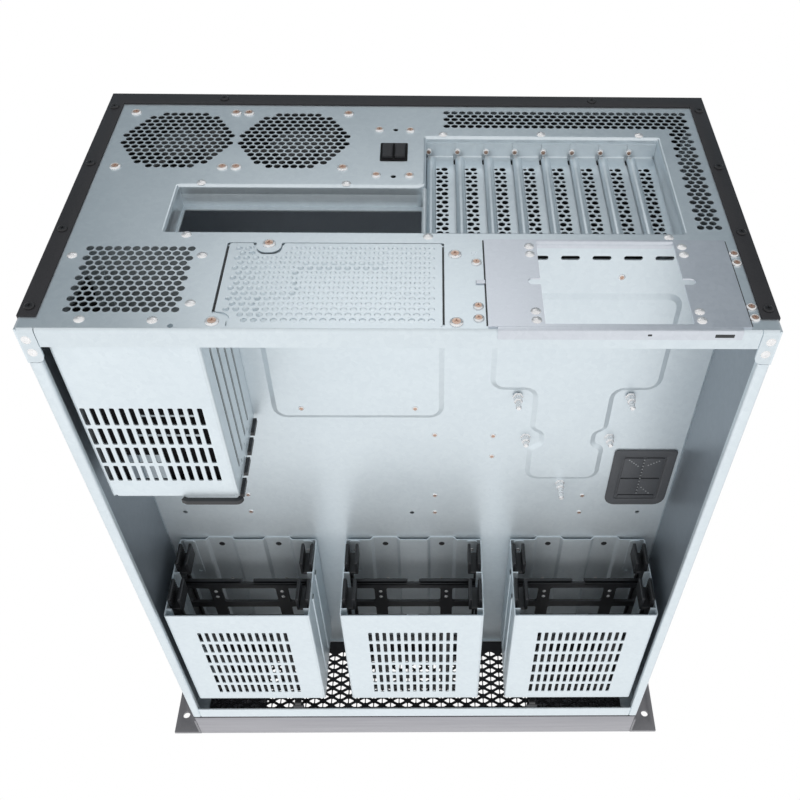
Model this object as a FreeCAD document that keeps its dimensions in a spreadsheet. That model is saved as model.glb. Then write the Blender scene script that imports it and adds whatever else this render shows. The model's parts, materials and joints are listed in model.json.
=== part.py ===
# Rack-mount computer case, six rack units high, with its bottom cover taken off.
#
# The frame: +Z is up, the front with the rack ears faces -Y, the rear panel faces +Y.
# X runs across the case. The origin is on the floor, in the middle of the case.
# Depths are measured from the outer face of the rear panel towards the front.
import FreeCAD
import Part
import math
import os
import re

doc = FreeCAD.newDocument("RackCase")
dims = doc.addObject("Spreadsheet::Sheet", "Dims")

# Driving dimensions in millimetres: name, size, meaning
SIZES = [
    ("body_width", 434.0, "width over the cover's sides"),
    ("body_height", 265.0, "height from the floor to the top of the cover"),
    ("body_depth", 476.0, "rear panel's outer face to the front plate's front face"),
    ("bezel_depth", 35.0, "front plate to the bezel's front face"),
    ("chamber_height", 87.0, "floor to the underside of the mid tray"),
    ("sheet", 1.2, "thickness of the chassis sheet"),
    ("cover_sheet", 1.0, "thickness of the cover's sheet"),
    ("cage_sheet", 1.0, "thickness of the cages, the slot pan and the plates"),
    ("joint_gap", 0.3, "gap where two sheet edges meet"),
    ("overcut", 1.0, "reach of a cut beyond the faces that it opens"),
    ("run_gap", 0.3, "running clearance of what slides"),
    ("screw_head", 1.8, "height of a screw head"),
    ("screw_radius", 3.2, "radius of a screw head"),
    ("screw_sides", 8.0, "flats round a screw head"),
    # side frames and rims
    ("rail_width", 8.0, "width of the side frames' bottom and top flanges"),
    ("rail_lip", 4.5, "height of the bottom rail's turned-up lip"),
    ("rear_flange", 12.4, "depth of the rear panel's flanges and side returns"),
    ("corner_tab", 24.0, "depth of the tabs at the rear corners"),
    ("front_flange", 16.5, "depth of the front plate's bottom flange"),
    # cover
    ("flange_side", 11.0, "width of the cover's rear flanges at the sides"),
    ("flange_top", 14.0, "height of the cover's rear flange at the top"),
    ("cover_foot", 11.0, "floor to the lower edge of the cover"),
    ("cover_screw_inset", 5.5, "cover's side to the middle of its side screws"),
    ("cover_side_screws", 4.0, "screws down each side of the cover"),
    ("cover_screw_low", 19.0, "floor to the lowest pair of side screws"),
    ("cover_screw_drop", 19.8, "top of the cover to the highest pair of side screws"),
    ("cover_top_screw", 134.5, "middle to the cover's top screws"),
    # fans in the rear panel
    ("fan_size", 80.0, "side of a fan"),
    ("fan_deep", 25.0, "depth of a fan"),
    ("fan_bore", 76.4, "bore of the fan frame"),
    ("fan_tip_gap", 0.7, "gap between blade tips and bore"),
    ("fan_hub", 33.0, "diameter of the rotor's hub"),
    ("fan_post", 8.0, "diameter of the bearing post"),
    ("fan_base", 3.0, "thickness of the fan's base and struts"),
    ("fan_strut", 4.0, "width of the fan's struts"),
    ("fan_hole_spacing", 71.5, "spacing of the fan's corner screws"),
    ("fan_step", 80.6, "spacing of the two fans"),
    ("fan_margin", 15.6, "side wall to the nearer fan"),
    ("fan_sits", 38.0, "share of the free height that is left under the fans, in percent"),
    ("fan_sides", 24.0, "flats round the fan's bore and hub"),
    ("fan_blades", 7.0, "blades of a rotor"),
    ("blade_pitch", 48.0, "pitch of the blades in degrees"),
    ("grille_radius", 38.0, "radius of the perforated field before each fan"),
    ("grille_pitch", 13.4, "pitch of the fan grilles' holes"),
    ("grille_hole", 10.6, "width across flats of the fan grilles' holes"),
    # vents in the rear panel
    ("vent_pitch", 16.2, "pitch of the vents' holes"),
    ("vent_hole", 12.8, "width across flats of the vents' holes"),
    ("band_right", -24.0, "top vent band's edge nearer the middle"),
    ("band_gap", 10.0, "slot recess to the top vent band"),
    ("band_drop", 20.5, "top of the cover to the top vent band"),
    ("column_gap", 8.8, "slot recess to the vent column"),
    ("column_width", 16.6, "width of the vent column"),
    ("column_lift", 9.8, "mid tray to the vent column"),
    ("low_vent_offset", 0.8, "middle of the low vent from the middle of the rear cage"),
    ("low_vent_width", 66.0, "width of the low vent"),
    ("low_vent_low", 14.0, "floor to the low vent"),
    ("low_vent_drop", 7.0, "mid tray to the low vent's upper edge"),
    # connector and slot pan
    ("pan_depth", 15.0, "depth of the recess"),
    ("pan_rim", 5.5, "width of the rim riveted behind the rear panel"),
    ("divider_x", -12.6, "middle of the wall between the two recesses"),
    ("io_width", 161.0, "width of the connector recess"),
    ("io_lift", 8.3, "mid tray to the connector recess"),
    ("io_height", 49.5, "height of the connector recess"),
    ("aperture_width", 158.75, "width of the connector aperture"),
    ("aperture_height", 44.45, "height of the connector aperture"),
    ("aperture_sill", 0.7, "recess floor to the aperture"),
    ("slot_pitch", 20.32, "spacing of the expansion slots"),
    ("slot_count", 8.0, "expansion slots"),
    ("slot_lift", 6.8, "mid tray to the slot recess"),
    ("slot_height", 113.0, "height of the slot recess"),
    ("slot_opening", 12.6, "width of a slot opening"),
    ("slot_sill", 5.0, "height of the pan left below and above a slot opening"),
    ("cover_strip", 18.8, "width of a slot cover"),
    ("strip_tab", 11.0, "depth of a slot cover's bent tab"),
    ("strip_screw_offset", 6.0, "slot cover's middle to its screw"),
    ("strip_screw_deep", 10.0, "rear face to a slot cover's screw"),
    ("strip_screw_radius", 2.6, "radius of a slot screw's head"),
    ("strip_pitch", 27.0, "pitch of the holes up a slot cover"),
    ("strip_hole", 12.4, "width across flats of a slot cover's holes"),
    # switch in the rear panel
    ("switch_x", 8.9, "middle of the switch across"),
    ("switch_z", 187.9, "floor to the middle of the switch"),
    ("switch_width", 17.8, "width of the switch cut-out"),
    ("switch_height", 21.2, "height of the switch cut-out"),
    ("switch_deep", 16.0, "depth of the switch housing behind the panel"),
    ("switch_flange", 1.2, "width and thickness of the switch's flange"),
    ("button_width", 6.9, "width of a button"),
    ("button_height", 15.0, "height of a button"),
    ("button_step", 8.5, "spacing of the two buttons"),
    ("button_deep", 9.0, "depth of a button's body"),
    ("button_proud", 1.4, "height of a button over the flange"),
    ("button_room", 3.0, "space behind a button for its travel"),
    # power supply places
    ("atx_width", 150.0, "width of a supply's place"),
    ("blank_x", 38.0, "middle of the blank plate across"),
    ("blank_low", 2.0, "floor to the blank plate"),
    ("blank_drop", 1.0, "mid tray to the upper edges of the blank and adapter plates"),
    ("window_x", 41.5, "middle of the opening before the blank plate"),
    ("window_width", 133.0, "width of the opening before the blank plate"),
    ("window_low", 3.6, "floor to that opening"),
    ("window_drop", 4.0, "mid tray to that opening's upper edge"),
    ("ear_reach", 8.5, "reach of the screw ears into that opening"),
    ("ear_flats", 12.0, "flats round a screw ear"),
    ("blank_pitch", 22.0, "pitch of the blank plate's holes"),
    ("blank_hole", 17.2, "width across flats of the blank plate's holes"),
    ("supply_screw_x", 106.5, "outer supply screws across"),
    ("supply_screw_low", 7.4, "floor to the lower supply screws"),
    ("supply_screw_span", 138.0, "spacing of the lower supply screws"),
    ("supply_screw_rise", 64.0, "height of the inner upper supply screw over the lower ones"),
    ("supply_screw_inset", 24.0, "inset of the outer upper supply screw"),
    ("supply_screw_lift", 74.0, "height of the outer upper supply screw over the lower ones"),
    ("adapter_x", -124.2, "middle of the adapter plate across"),
    ("adapter_width", 149.5, "width of the adapter plate"),
    ("adapter_low", 1.4, "floor to the adapter plate"),
    ("adapter_opening", 85.0, "width of the adapter plate's opening"),
    ("adapter_sill", 4.0, "height of the adapter plate below its opening"),
    ("adapter_head", 2.5, "height of the adapter plate above its opening"),
    ("adapter_border", 9.0, "overlap of the adapter plate on the rear panel at its sides"),
    ("adapter_lip_inset", 5.2, "adapter plate's side edges to the ends of its lip"),
    ("adapter_notch", 6.0, "width of the notches beside the adapter plate's opening"),
    ("adapter_notch_reach", 7.4, "reach of those notches"),
    ("adapter_notch_drop", 42.7, "mid tray to the middle of those notches"),
    ("adapter_rivet_span", 94.2, "spacing of the adapter plate's columns of rivets"),
    ("adapter_rivet_inset", 7.2, "adapter plate's upper and lower edges to its rivets"),
    ("adapter_rivet_step", 7.9, "spacing of the two rivets of a pair"),
    # mid tray
    ("tray_flange", 12.0, "height of the tray's side flanges"),
    ("emboss_depth", 1.6, "depth of the tray's embossed fields"),
    ("emboss_x", 38.0, "middle of the rectangular field across"),
    ("emboss_width", 124.0, "width of the rectangular field"),
    ("emboss_near", 43.0, "rear face to the embossed fields"),
    ("emboss_tab_x", 39.0, "middle of the rectangular field's rear tab across"),
    ("emboss_tab_width", 64.0, "width of that tab"),
    ("emboss_tab_near", 20.0, "rear face to that tab"),
    ("emboss_far", 152.5, "rear face to the far edge of the rectangular field"),
    ("tee_x", -121.5, "middle of the T-shaped field across"),
    ("tee_width", 121.0, "width of the T-shaped field's head"),
    ("tee_head", 124.0, "rear face to the end of that head"),
    ("tee_neck", 56.0, "width of the T-shaped field's neck"),
    ("tee_far", 222.0, "rear face to the end of the neck"),
    ("grommet_x", -186.0, "middle of the cable grommet across"),
    ("grommet_width", 50.0, "width of the cable grommet"),
    ("grommet_near", 189.0, "rear face to the grommet"),
    ("grommet_length", 66.0, "length of the grommet"),
    ("grommet_rim", 4.0, "overlap of the grommet on the tray"),
    ("grommet_thick", 2.0, "thickness of the grommet's rim"),
    ("grommet_corner", 5.0, "corner cut of the grommet"),
    ("slit_width", 1.2, "width of the grommet's slits"),
    ("slit_margin", 12.0, "grommet's edge to the ends of its slits"),
    # spacers
    ("spacer_size", 5.5, "width across flats of a spacer"),
    ("hanger_length", 8.0, "length of the spacers under the tray"),
    ("hanger_span", 83.0, "spacing of the rear pair of hanging spacers"),
    ("hanger_near", 131.0, "rear face to the rear pair"),
    ("hanger_inner_span", 65.0, "spacing of the second pair"),
    ("hanger_mid", 175.0, "rear face to the second pair"),
    ("hanger_far", 229.0, "rear face to the single hanging spacer"),
    ("board_lift", 6.35, "height of the board spacers"),
    ("board_near", 42.4, "rear face to the first row of board spacers"),
    ("board_row_2", 154.94, "first row to the second row"),
    ("board_row_3", 227.33, "first row to the third row"),
    ("board_column", 138.5, "outer column of board spacers across"),
    ("board_column_2", 157.48, "outer to the second column"),
    ("board_column_3", 281.94, "outer to the third column"),
    # drive cages
    ("cage_margin", 10.55, "side wall to the nearer front cage"),
    ("cage_slots", 13.0, "slots in a cage's bottom"),
    ("cage_width", 119.5, "width of a front cage"),
    ("cage_near", 301.0, "rear face to the open end of the front cages"),
    ("cage_length", 143.0, "length of a front cage"),
    ("cage_foot", 4.0, "floor to the underside of the front cages"),
    ("cage_lift", 3.0, "height of the raised strips on the cages' tops"),
    ("strip_width", 21.0, "width of a raised strip"),
    ("strip_span", 50.0, "spacing of the two raised strips"),
    ("cage_slot_width", 3.2, "width of the cages' bottom slots"),
    ("cage_slot_pitch", 6.05, "pitch of the cages' bottom slots"),
    ("cage_slot_near", 26.3, "cage's open end to its slots"),
    ("cage_slot_length", 104.7, "length of the slotted field"),
    ("rear_cage_margin", 10.8, "side wall to the rear cage"),
    ("rear_cage_width", 87.5, "width of the rear cage"),
    ("rear_cage_foot", 6.0, "floor to the underside of the rear cage"),
    ("rear_cage_far", 152.0, "rear face to the front end of the rear cage"),
    ("rear_slot_near", 66.4, "rear face to the rear cage's slots"),
    ("rear_slot_shift", 3.2, "middle of the rear cage to the middle of its slots"),
    ("rear_slot_length", 67.8, "length of the rear cage's slotted field"),
    ("wall_slots", 4.0, "long slots in each of the rear cage's walls"),
    ("wall_slot_near", 32.0, "rear face to the long wall slots"),
    ("wall_slot_height", 4.0, "height of the long slots in the rear cage's walls"),
    ("wall_slot_pitch", 15.0, "spacing of the long slots in the rear cage's walls"),
    # drive trays
    ("tray_level", 12.0, "floor to the lower drive trays"),
    ("drive_room", 35.0, "upper drive trays to the cages' top"),
    ("tray_plate", 2.4, "thickness of a drive tray's plate"),
    ("tray_rail", 2.6, "thickness of a drive tray's side rails"),
    ("tray_rail_height", 22.0, "height of a drive tray's side rails"),
    ("tray_near", 319.0, "rear face to a drive tray's lip"),
    ("tray_lip", 6.0, "height of a drive tray's lip"),
    ("tray_end", 2.5, "drive tray's far end to the cage's far end"),
    ("tray_rows", 2.0, "rows of windows in a drive tray's plate"),
    ("tray_bar", 8.0, "width of a drive tray's bars"),
    ("tray_bar_span", 58.0, "spacing of the two long bars"),
    ("ledge_reach", 4.5, "reach of a cage's ledges under its drive trays"),
    ("lever_near", 296.0, "rear face to the levers' tips"),
    ("lever_root", 16.0, "length of a lever"),
    ("lever_reach", 11.0, "width of a lever with its finger gap"),
    ("lever_low", 5.0, "drive tray to the lower edge of its levers"),
    ("lever_high", 27.0, "drive tray to the upper edge of its levers"),
    # front
    ("mesh_sheet", 1.0, "thickness of the front mesh"),
    ("mesh_side", 54.0, "spacing of the mesh's bars"),
    ("mesh_bar", 7.8, "width of the mesh's bars"),
    ("mesh_border", 12.0, "mesh's border above and below its holes"),
    ("front_window_low", 4.0, "floor to the lower window of the front plate"),
    ("front_window_drop", 2.0, "mid tray to the upper edge of that window"),
    ("front_border", 12.0, "border of the front plate's windows"),
    ("bezel_wall", 2.5, "thickness of the bezel"),
    ("bezel_cap_left", 101.0, "bezel's closed end at -X"),
    ("bezel_cap_right", 62.0, "bezel's closed end at +X"),
    ("bezel_border", 28.0, "bezel's border above and below its window"),
    ("ear_width", 24.3, "reach of a rack ear beyond the body's side"),
    ("ear_sheet", 3.0, "thickness of a rack ear's face"),
    ("ear_leg", 2.0, "thickness of a rack ear's leg"),
    ("ear_leg_length", 27.0, "length of a rack ear's leg"),
    ("ear_hole_inset", 8.75, "rack ear's outer edge to the middle of its holes"),
    ("ear_holes", 3.0, "rack holes of an ear"),
    ("ear_hole", 7.0, "diameter of the rack holes"),
    ("ear_hole_low", 19.0, "floor to the lowest rack holes, and the top to the highest"),
]

# Positions worked out from the driving dimensions
DERIVED = {
    "rear_y": "(body_depth + bezel_depth - cover_sheet - screw_head) / 2",
    "half": "body_width / 2",
    "frame_half": "half - cover_sheet",
    "inner_half": "frame_half - sheet",
    "rim_half": "frame_half - rail_width - joint_gap",
    "top": "body_height - cover_sheet",
    "tray_top": "chamber_height + sheet",
    "cover_screw_step": "(body_height - cover_screw_low - cover_screw_drop) / (cover_side_screws - 1)",
    "io_low": "tray_top + io_lift",
    "io_high": "io_low + io_height",
    "slot_low": "tray_top + slot_lift",
    "slot_high": "slot_low + slot_height",
    "fan_back": "sheet + fan_deep",
    "post_tip": "3 * fan_base",
    "fan_middle_x": "inner_half - fan_margin - (fan_size + fan_step) / 2",
    "fan_room": "top - sheet - io_high - pan_rim - fan_size",
    "fan_middle_z": "io_high + pan_rim + fan_size / 2 + fan_room * fan_sits / 100",
    "io_right": "divider_x + cage_sheet / 2",
    "io_left": "io_right + io_width",
    "slot_right": "divider_x - cage_sheet / 2",
    "slot_width": "slot_count * slot_pitch",
    "slot_left": "slot_right - slot_width",
    "band_low": "slot_high + band_gap",
    "band_high": "body_height - band_drop",
    "column_inner": "slot_left - column_gap",
    "band_left": "column_inner - column_width",
    "column_low": "tray_top + column_lift",
    "blank_high": "chamber_height - blank_drop",
    "window_high": "chamber_height - window_drop",
    "aperture_low": "io_low + aperture_sill",
    "aperture_x": "io_right + io_width / 2",
    "cage_top": "chamber_height - cage_lift",
    "cage_far": "cage_near + cage_length",
    "cage_step": "inner_half - cage_margin - cage_width / 2",
    "rear_cage_x": "inner_half - rear_cage_margin - rear_cage_width / 2",
    "low_vent_x": "rear_cage_x - low_vent_offset",
    "front_window_high": "chamber_height - front_window_drop",
    "tray_step": "cage_top - drive_room - tray_level",
    "drive_half": "cage_width / 2 - cage_sheet - run_gap",
    "mesh_deep": "body_depth + mesh_sheet",
    "nose": "body_depth + bezel_depth",
    "bezel_half": "half - ear_leg",
    "ear_half": "half + ear_width",
    "ear_hole_step": "(body_height - 2 * ear_hole_low) / (ear_holes - 1)",
}

# Embossed fields of the mid tray: name, range across, depth of the near and the far edge
FIELDS = (
    ("Emboss", ("emboss_x - emboss_width / 2", "emboss_x + emboss_width / 2"),
     "emboss_near", "emboss_far"),
    ("EmbossTab", ("emboss_tab_x - emboss_tab_width / 2", "emboss_tab_x + emboss_tab_width / 2"),
     "emboss_tab_near", "emboss_far"),
    ("TeeHead", ("tee_x - tee_width / 2", "tee_x + tee_width / 2"), "emboss_near", "tee_head"),
    ("TeeNeck", ("tee_x - tee_neck / 2", "tee_x + tee_neck / 2"), "emboss_near", "tee_far"),
)

for row, (alias, size, meaning) in enumerate(SIZES, start=1):
    dims.set(f"A{row}", meaning)
    dims.set(f"B{row}", str(size))
    dims.setAlias(f"B{row}", alias)
doc.recompute()

ALIASES = {alias for alias, size, meaning in SIZES}
WORD = re.compile(r"[A-Za-z_]\w*")
NODES = {}


def expand(formula):
    """Write a formula of size names as an expression on the sheet's cells."""
    def spell(match):
        word = match.group(0)
        if word in DERIVED:
            return f"({expand(DERIVED[word])})"
        return f"Dims.{word}" if word in ALIASES else word
    return WORD.sub(spell, str(formula))


def value(formula):
    """The size in millimetres that a formula gives."""
    return float(dims.evalExpression(expand(formula)))


def deep(near, far):
    """The Y range between two depths from the rear panel's outer face."""
    return f"rear_y - ({far})", f"rear_y - ({near})"


def around(middle, size):
    """A range of a given size about its middle."""
    return f"({middle}) - ({size}) / 2", f"({middle}) + ({size}) / 2"


def box(name, x, y, z):
    """A block between pairs of formulas along each axis."""
    solid = doc.addObject("Part::Box", name)
    for size, axis, (low, high) in zip(("Length", "Width", "Height"), "xyz", (x, y, z)):
        solid.setExpression(size, expand(f"({high}) - ({low})"))
        solid.setExpression(f"Placement.Base.{axis}", expand(low))
    return solid


def rod(name, radius, x, y, z):
    """A cylinder along Y between a pair of formulas."""
    solid = doc.addObject("Part::Cylinder", name)
    low, high = y
    solid.setExpression("Radius", expand(radius))
    solid.setExpression("Height", expand(f"({high}) - ({low})"))
    turn = FreeCAD.Rotation(FreeCAD.Vector(1, 0, 0), -90)
    solid.Placement = FreeCAD.Placement(FreeCAD.Vector(), turn)
    for letter, formula in zip("xyz", (x, low, z)):
        solid.setExpression(f"Placement.Base.{letter}", expand(formula))
    return solid


def prism(name, sides, radius, axis, x, y, z):
    """A many-sided bar along Y or Z; the coordinate on its axis is a pair of formulas."""
    solid = doc.addObject("Part::Prism", name)
    low, high = y if axis == "y" else z
    solid.Polygon = round(value(sides))
    solid.setExpression("Circumradius", expand(radius))
    solid.setExpression("Height", expand(f"({high}) - ({low})"))
    tilt = -90 if axis == "y" else 0
    turn = FreeCAD.Rotation(FreeCAD.Vector(1, 0, 0), tilt)
    solid.Placement = FreeCAD.Placement(FreeCAD.Vector(), turn)
    base = (x, low, z) if axis == "y" else (x, y, low)
    for letter, formula in zip("xyz", base):
        solid.setExpression(f"Placement.Base.{letter}", expand(formula))
    return solid


def fuse(name, parts):
    """One solid from pieces that meet."""
    solid = doc.addObject("Part::MultiFuse", name)
    solid.Shapes = parts
    solid.Refine = True
    return solid


def group(name, parts):
    """Separate solids kept together."""
    bundle = doc.addObject("Part::Compound", name)
    bundle.Links = parts
    return bundle


def cut(name, base, tools):
    """A solid with pieces taken out; the pieces don't overlap each other."""
    solid = doc.addObject("Part::Cut", name)
    solid.Base = base
    solid.Tool = tools[0] if len(tools) == 1 else group(name + "Tools", tools)
    solid.Refine = True
    return solid


def node(label, solid):
    """Keep a finished piece under its own name."""
    solid.Label = label
    NODES[label] = solid


def staggered(x_range, z_range, pitch):
    """Centres of a staggered field inside a rectangle; every second row is one hole shorter."""
    low_x, high_x = sorted(value(limit) for limit in x_range)
    low_z, high_z = sorted(value(limit) for limit in z_range)
    step = value(pitch)
    rise = step * math.sin(math.radians(60))
    rows = max(1, int((high_z - low_z - step) / rise + 1.001))
    first_z = (low_z + high_z - (rows - 1) * rise) / 2
    widest = int((high_x - low_x) / step + 0.001)
    for row in range(rows):
        columns = widest - row % 2 if widest > 1 else 1
        first_x = (low_x + high_x - (columns - 1) * step) / 2
        for column in range(columns):
            yield first_x + column * step, first_z + row * rise


def hex_holes(name, centres, flats, y_range):
    """Hexagonal prisms along Y, which punch a field of holes."""
    reach = value(flats) / math.sqrt(3)
    low = value(y_range[0])
    length = value(y_range[1]) - low
    prisms = []
    for x, z in centres:
        turns = [math.radians(30 + 60 * corner) for corner in range(7)]
        points = [FreeCAD.Vector(x + reach * math.cos(t), low, z + reach * math.sin(t)) for t in turns]
        face = Part.Face(Part.makePolygon(points))
        prisms.append(face.extrude(FreeCAD.Vector(0, length, 0)))
    field = doc.addObject("Part::Feature", name)
    field.Shape = Part.Compound(prisms)
    return field


def heads(label, places, y_low="rear_y", radius="screw_radius"):
    """Screw heads that face the rear, at X and Z places on one plane."""
    y_range = (y_low, f"{y_low} + screw_head")
    solids = [prism("Head", "screw_sides", radius, "y", x, y_range, z) for x, z in places]
    node(label, group("Heads", solids))


def side_frame(label, side):
    """A side wall with its bottom rail, the rail's lip and a top flange."""
    def across(inner, outer):
        return (inner, outer) if side > 0 else (f"-({outer})", f"-({inner})")

    rail_inner = "frame_half - rail_width"
    long = deep("sheet", "body_depth - sheet")
    rail = deep("corner_tab + joint_gap", "body_depth - sheet")
    wall = box("Wall", across("inner_half", "frame_half"), deep("0", "body_depth"), ("0", "top"))
    foot = box("Rail", across(rail_inner, "frame_half"), rail, ("0", "sheet"))
    lip = box("RailLip", across(rail_inner, f"{rail_inner} + sheet"), rail, ("0", "rail_lip"))
    head = box("TopFlange", across(rail_inner, "frame_half"), long, ("top - sheet", "top"))
    node(label, fuse("SideFrame", [wall, foot, lip, head]))


def rear_panel():
    """The rear sheet with its flanges, grilles, vents and openings."""
    skin = deep("0", "sheet")
    rim = ("-rim_half", "rim_half")
    plate = box("RearPlate", ("-inner_half", "inner_half"), skin, ("0", "top"))
    foot = box("RearFoot", rim, deep("0", "rear_flange"), ("0", "sheet"))
    head = box("RearHead", rim, deep("0", "rear_flange"), ("top - sheet", "top"))
    tab_y = deep("0", "corner_tab")
    tab_right = box("TabRight", ("rim_half", "inner_half"), tab_y, ("0", "sheet"))
    tab_left = box("TabLeft", ("-inner_half", "-rim_half"), tab_y, ("0", "sheet"))
    returns = []
    for side in ("inner_half - sheet", "inner_half"), ("-inner_half", "-inner_half + sheet"):
        low = ("0", "chamber_height - joint_gap")
        high = ("chamber_height + tray_flange + joint_gap", "top - sheet - joint_gap")
        returns += [box("SideReturn", side, deep("0", "rear_flange"), z) for z in (low, high)]
    folded = fuse("RearFolded", [plate, foot, head, tab_right, tab_left] + returns)

    through = deep("-overcut", "sheet + overcut")
    holes = []
    for number in (0, 1):
        x = f"fan_middle_x + ({number} - 0.5) * fan_step"
        middle = (value(x), value("fan_middle_z"))
        reach = value("grille_radius - grille_hole / 2")
        field = staggered(around(x, "2 * grille_radius"), around("fan_middle_z", "2 * grille_radius"),
                          "grille_pitch")
        inside = [spot for spot in field if math.dist(spot, middle) <= reach]
        holes.append(hex_holes("FanGrille", inside, "grille_hole", through))
    band = staggered(("band_left", "band_right"), ("band_low", "band_high"), "vent_pitch")
    holes.append(hex_holes("VentBand", band, "vent_hole", through))
    column = staggered(("band_left", "column_inner"), ("column_low", "band_low"), "vent_pitch")
    holes.append(hex_holes("VentColumn", column, "vent_hole", through))
    low_vent = staggered(around("low_vent_x", "low_vent_width"),
                         ("low_vent_low", "chamber_height - low_vent_drop"), "vent_pitch")
    holes.append(hex_holes("LowVent", low_vent, "vent_hole", through))

    io_hole = box("IoHole", ("slot_right", "io_left"), through, ("io_low", "io_high"))
    slot_hole = box("SlotHole", ("slot_left", "slot_right"), through, ("slot_low", "slot_high"))
    holes.append(fuse("PanHole", [io_hole, slot_hole]))
    holes.append(box("SwitchHole", around("switch_x", "switch_width"), through,
                     around("switch_z", "switch_height")))

    window = box("BlankWindow", around("window_x", "window_width"), through, ("window_low", "window_high"))
    upper_ear = prism("UpperEar", "ear_flats", "ear_reach", "y", "supply_screw_x - supply_screw_inset",
                      through, "window_high")
    lower_ear = prism("LowerEar", "ear_flats", "ear_reach", "y", "supply_screw_x",
                      through, "supply_screw_low")
    holes.append(cut("EaredWindow", window, [upper_ear, lower_ear]))
    holes.append(box("AdapterWindow", around("adapter_x", "adapter_width - 2 * adapter_border"), through,
                     ("adapter_low + adapter_sill", "blank_high - adapter_head")))
    node("rear_panel", cut("RearPanel", folded, holes))


def slot_pan():
    """The recessed pan: connector recess, slot recess, their back walls and the riveted rims."""
    walls = deep("sheet", "pan_depth + cage_sheet")
    inside = deep("-overcut", "pan_depth")
    rim_y = deep("sheet", "sheet + cage_sheet")
    cases = []
    rims = []
    rooms = []
    for name, x, z in (("Io", ("io_right", "io_left"), ("io_low", "io_high")),
                       ("Slot", ("slot_left", "slot_right"), ("slot_low", "slot_high"))):
        wide = (f"{x[0]} - cage_sheet", f"{x[1]} + cage_sheet")
        tall = (f"{z[0]} - cage_sheet", f"{z[1]} + cage_sheet")
        cases.append(box(name + "Case", wide, walls, tall))
        rim_x = (f"{x[0]} - pan_rim", f"{x[1]} + pan_rim")
        rim_z = (f"{z[0]} - pan_rim", f"{z[1]} + pan_rim")
        rims.append(box(name + "Rim", rim_x, rim_y, rim_z))
        rooms.append(box(name + "Room", x, inside, z))
    pan = cut("PanHollow", fuse("PanSolid", cases + rims), rooms)

    back = deep("pan_depth - overcut", "pan_depth + cage_sheet + overcut")
    openings = [box("Aperture", around("aperture_x", "aperture_width"), back,
                    ("aperture_low", "aperture_low + aperture_height"))]
    slot_z = ("slot_low + slot_sill", "slot_high - slot_sill")
    for number in range(round(value("slot_count"))):
        x = f"slot_right - ({number} + 0.5) * slot_pitch"
        openings.append(box("SlotOpening", around(x, "slot_opening"), back, slot_z))
    node("slot_pan", cut("SlotPan", pan, openings))


def slot_covers():
    """Eight perforated L-shaped covers and the screws under their bent tabs."""
    strip_y = deep("pan_depth - cage_sheet", "pan_depth")
    tab_y = deep("pan_depth - strip_tab", "pan_depth")
    screws = []
    for number in range(round(value("slot_count"))):
        x = f"slot_right - ({number} + 0.5) * slot_pitch"
        strip = box("Strip", around(x, "cover_strip"), strip_y, ("slot_low + joint_gap", "slot_high"))
        tab = box("StripTab", around(x, "cover_strip"), tab_y, ("slot_high - cage_sheet", "slot_high"))
        rows = int(value("(slot_high - slot_low - 2 * slot_sill) / strip_pitch"))
        first = value("(slot_low + slot_high) / 2") - (rows - 1) / 2 * value("strip_pitch")
        spots = [(value(x), first + row * value("strip_pitch")) for row in range(rows)]
        through = deep("pan_depth - cage_sheet - overcut", "pan_depth + overcut")
        field = hex_holes("StripHoles", spots, "strip_hole", through)
        node(f"slot_cover_{number + 1}", cut("SlotCover", fuse("StripFolded", [strip, tab]), [field]))
        under = ("slot_high - cage_sheet - screw_head", "slot_high - cage_sheet")
        screws.append(prism("SlotScrew", "screw_sides", "strip_screw_radius", "z",
                            f"{x} + strip_screw_offset", "rear_y - strip_screw_deep", under))
    node("slot_screws", group("SlotScrews", screws))


def mid_tray():
    """The sheet between the chambers, with side flanges, embossed fields and the grommet's hole."""
    flat_z = ("chamber_height", "tray_top")
    long = deep("sheet", "body_depth - sheet")
    plate = box("TrayPlate", ("-inner_half", "inner_half"), long, flat_z)
    rise = ("chamber_height", "chamber_height + tray_flange")
    right = box("TrayFlangeRight", ("inner_half - sheet", "inner_half"), long, rise)
    left = box("TrayFlangeLeft", ("-inner_half", "-inner_half + sheet"), long, rise)

    def field(name, x, near, far, grow, z):
        wide = (f"{x[0]} - ({grow})", f"{x[1]} + ({grow})")
        return box(name, wide, deep(f"{near} - ({grow})", f"{far} + ({grow})"), z)

    low_z = ("chamber_height - emboss_depth", "tray_top")
    hollow_z = ("chamber_height - emboss_depth + sheet", "tray_top + overcut")
    pressed = [field(name, x, near, far, "0", low_z) for name, x, near, far in FIELDS]
    hollows = [field(name + "Hollow", x, near, far, "-sheet", hollow_z) for name, x, near, far in FIELDS]
    hole = box("GrommetHole", around("grommet_x", "grommet_width - 2 * grommet_rim"),
               deep("grommet_near + grommet_rim", "grommet_near + grommet_length - grommet_rim"),
               ("chamber_height - overcut", "tray_top + overcut"))
    folded = fuse("TrayFolded", [plate, right, left] + pressed)
    node("mid_tray", cut("MidTray", folded, [fuse("Hollows", hollows), hole]))


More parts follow.
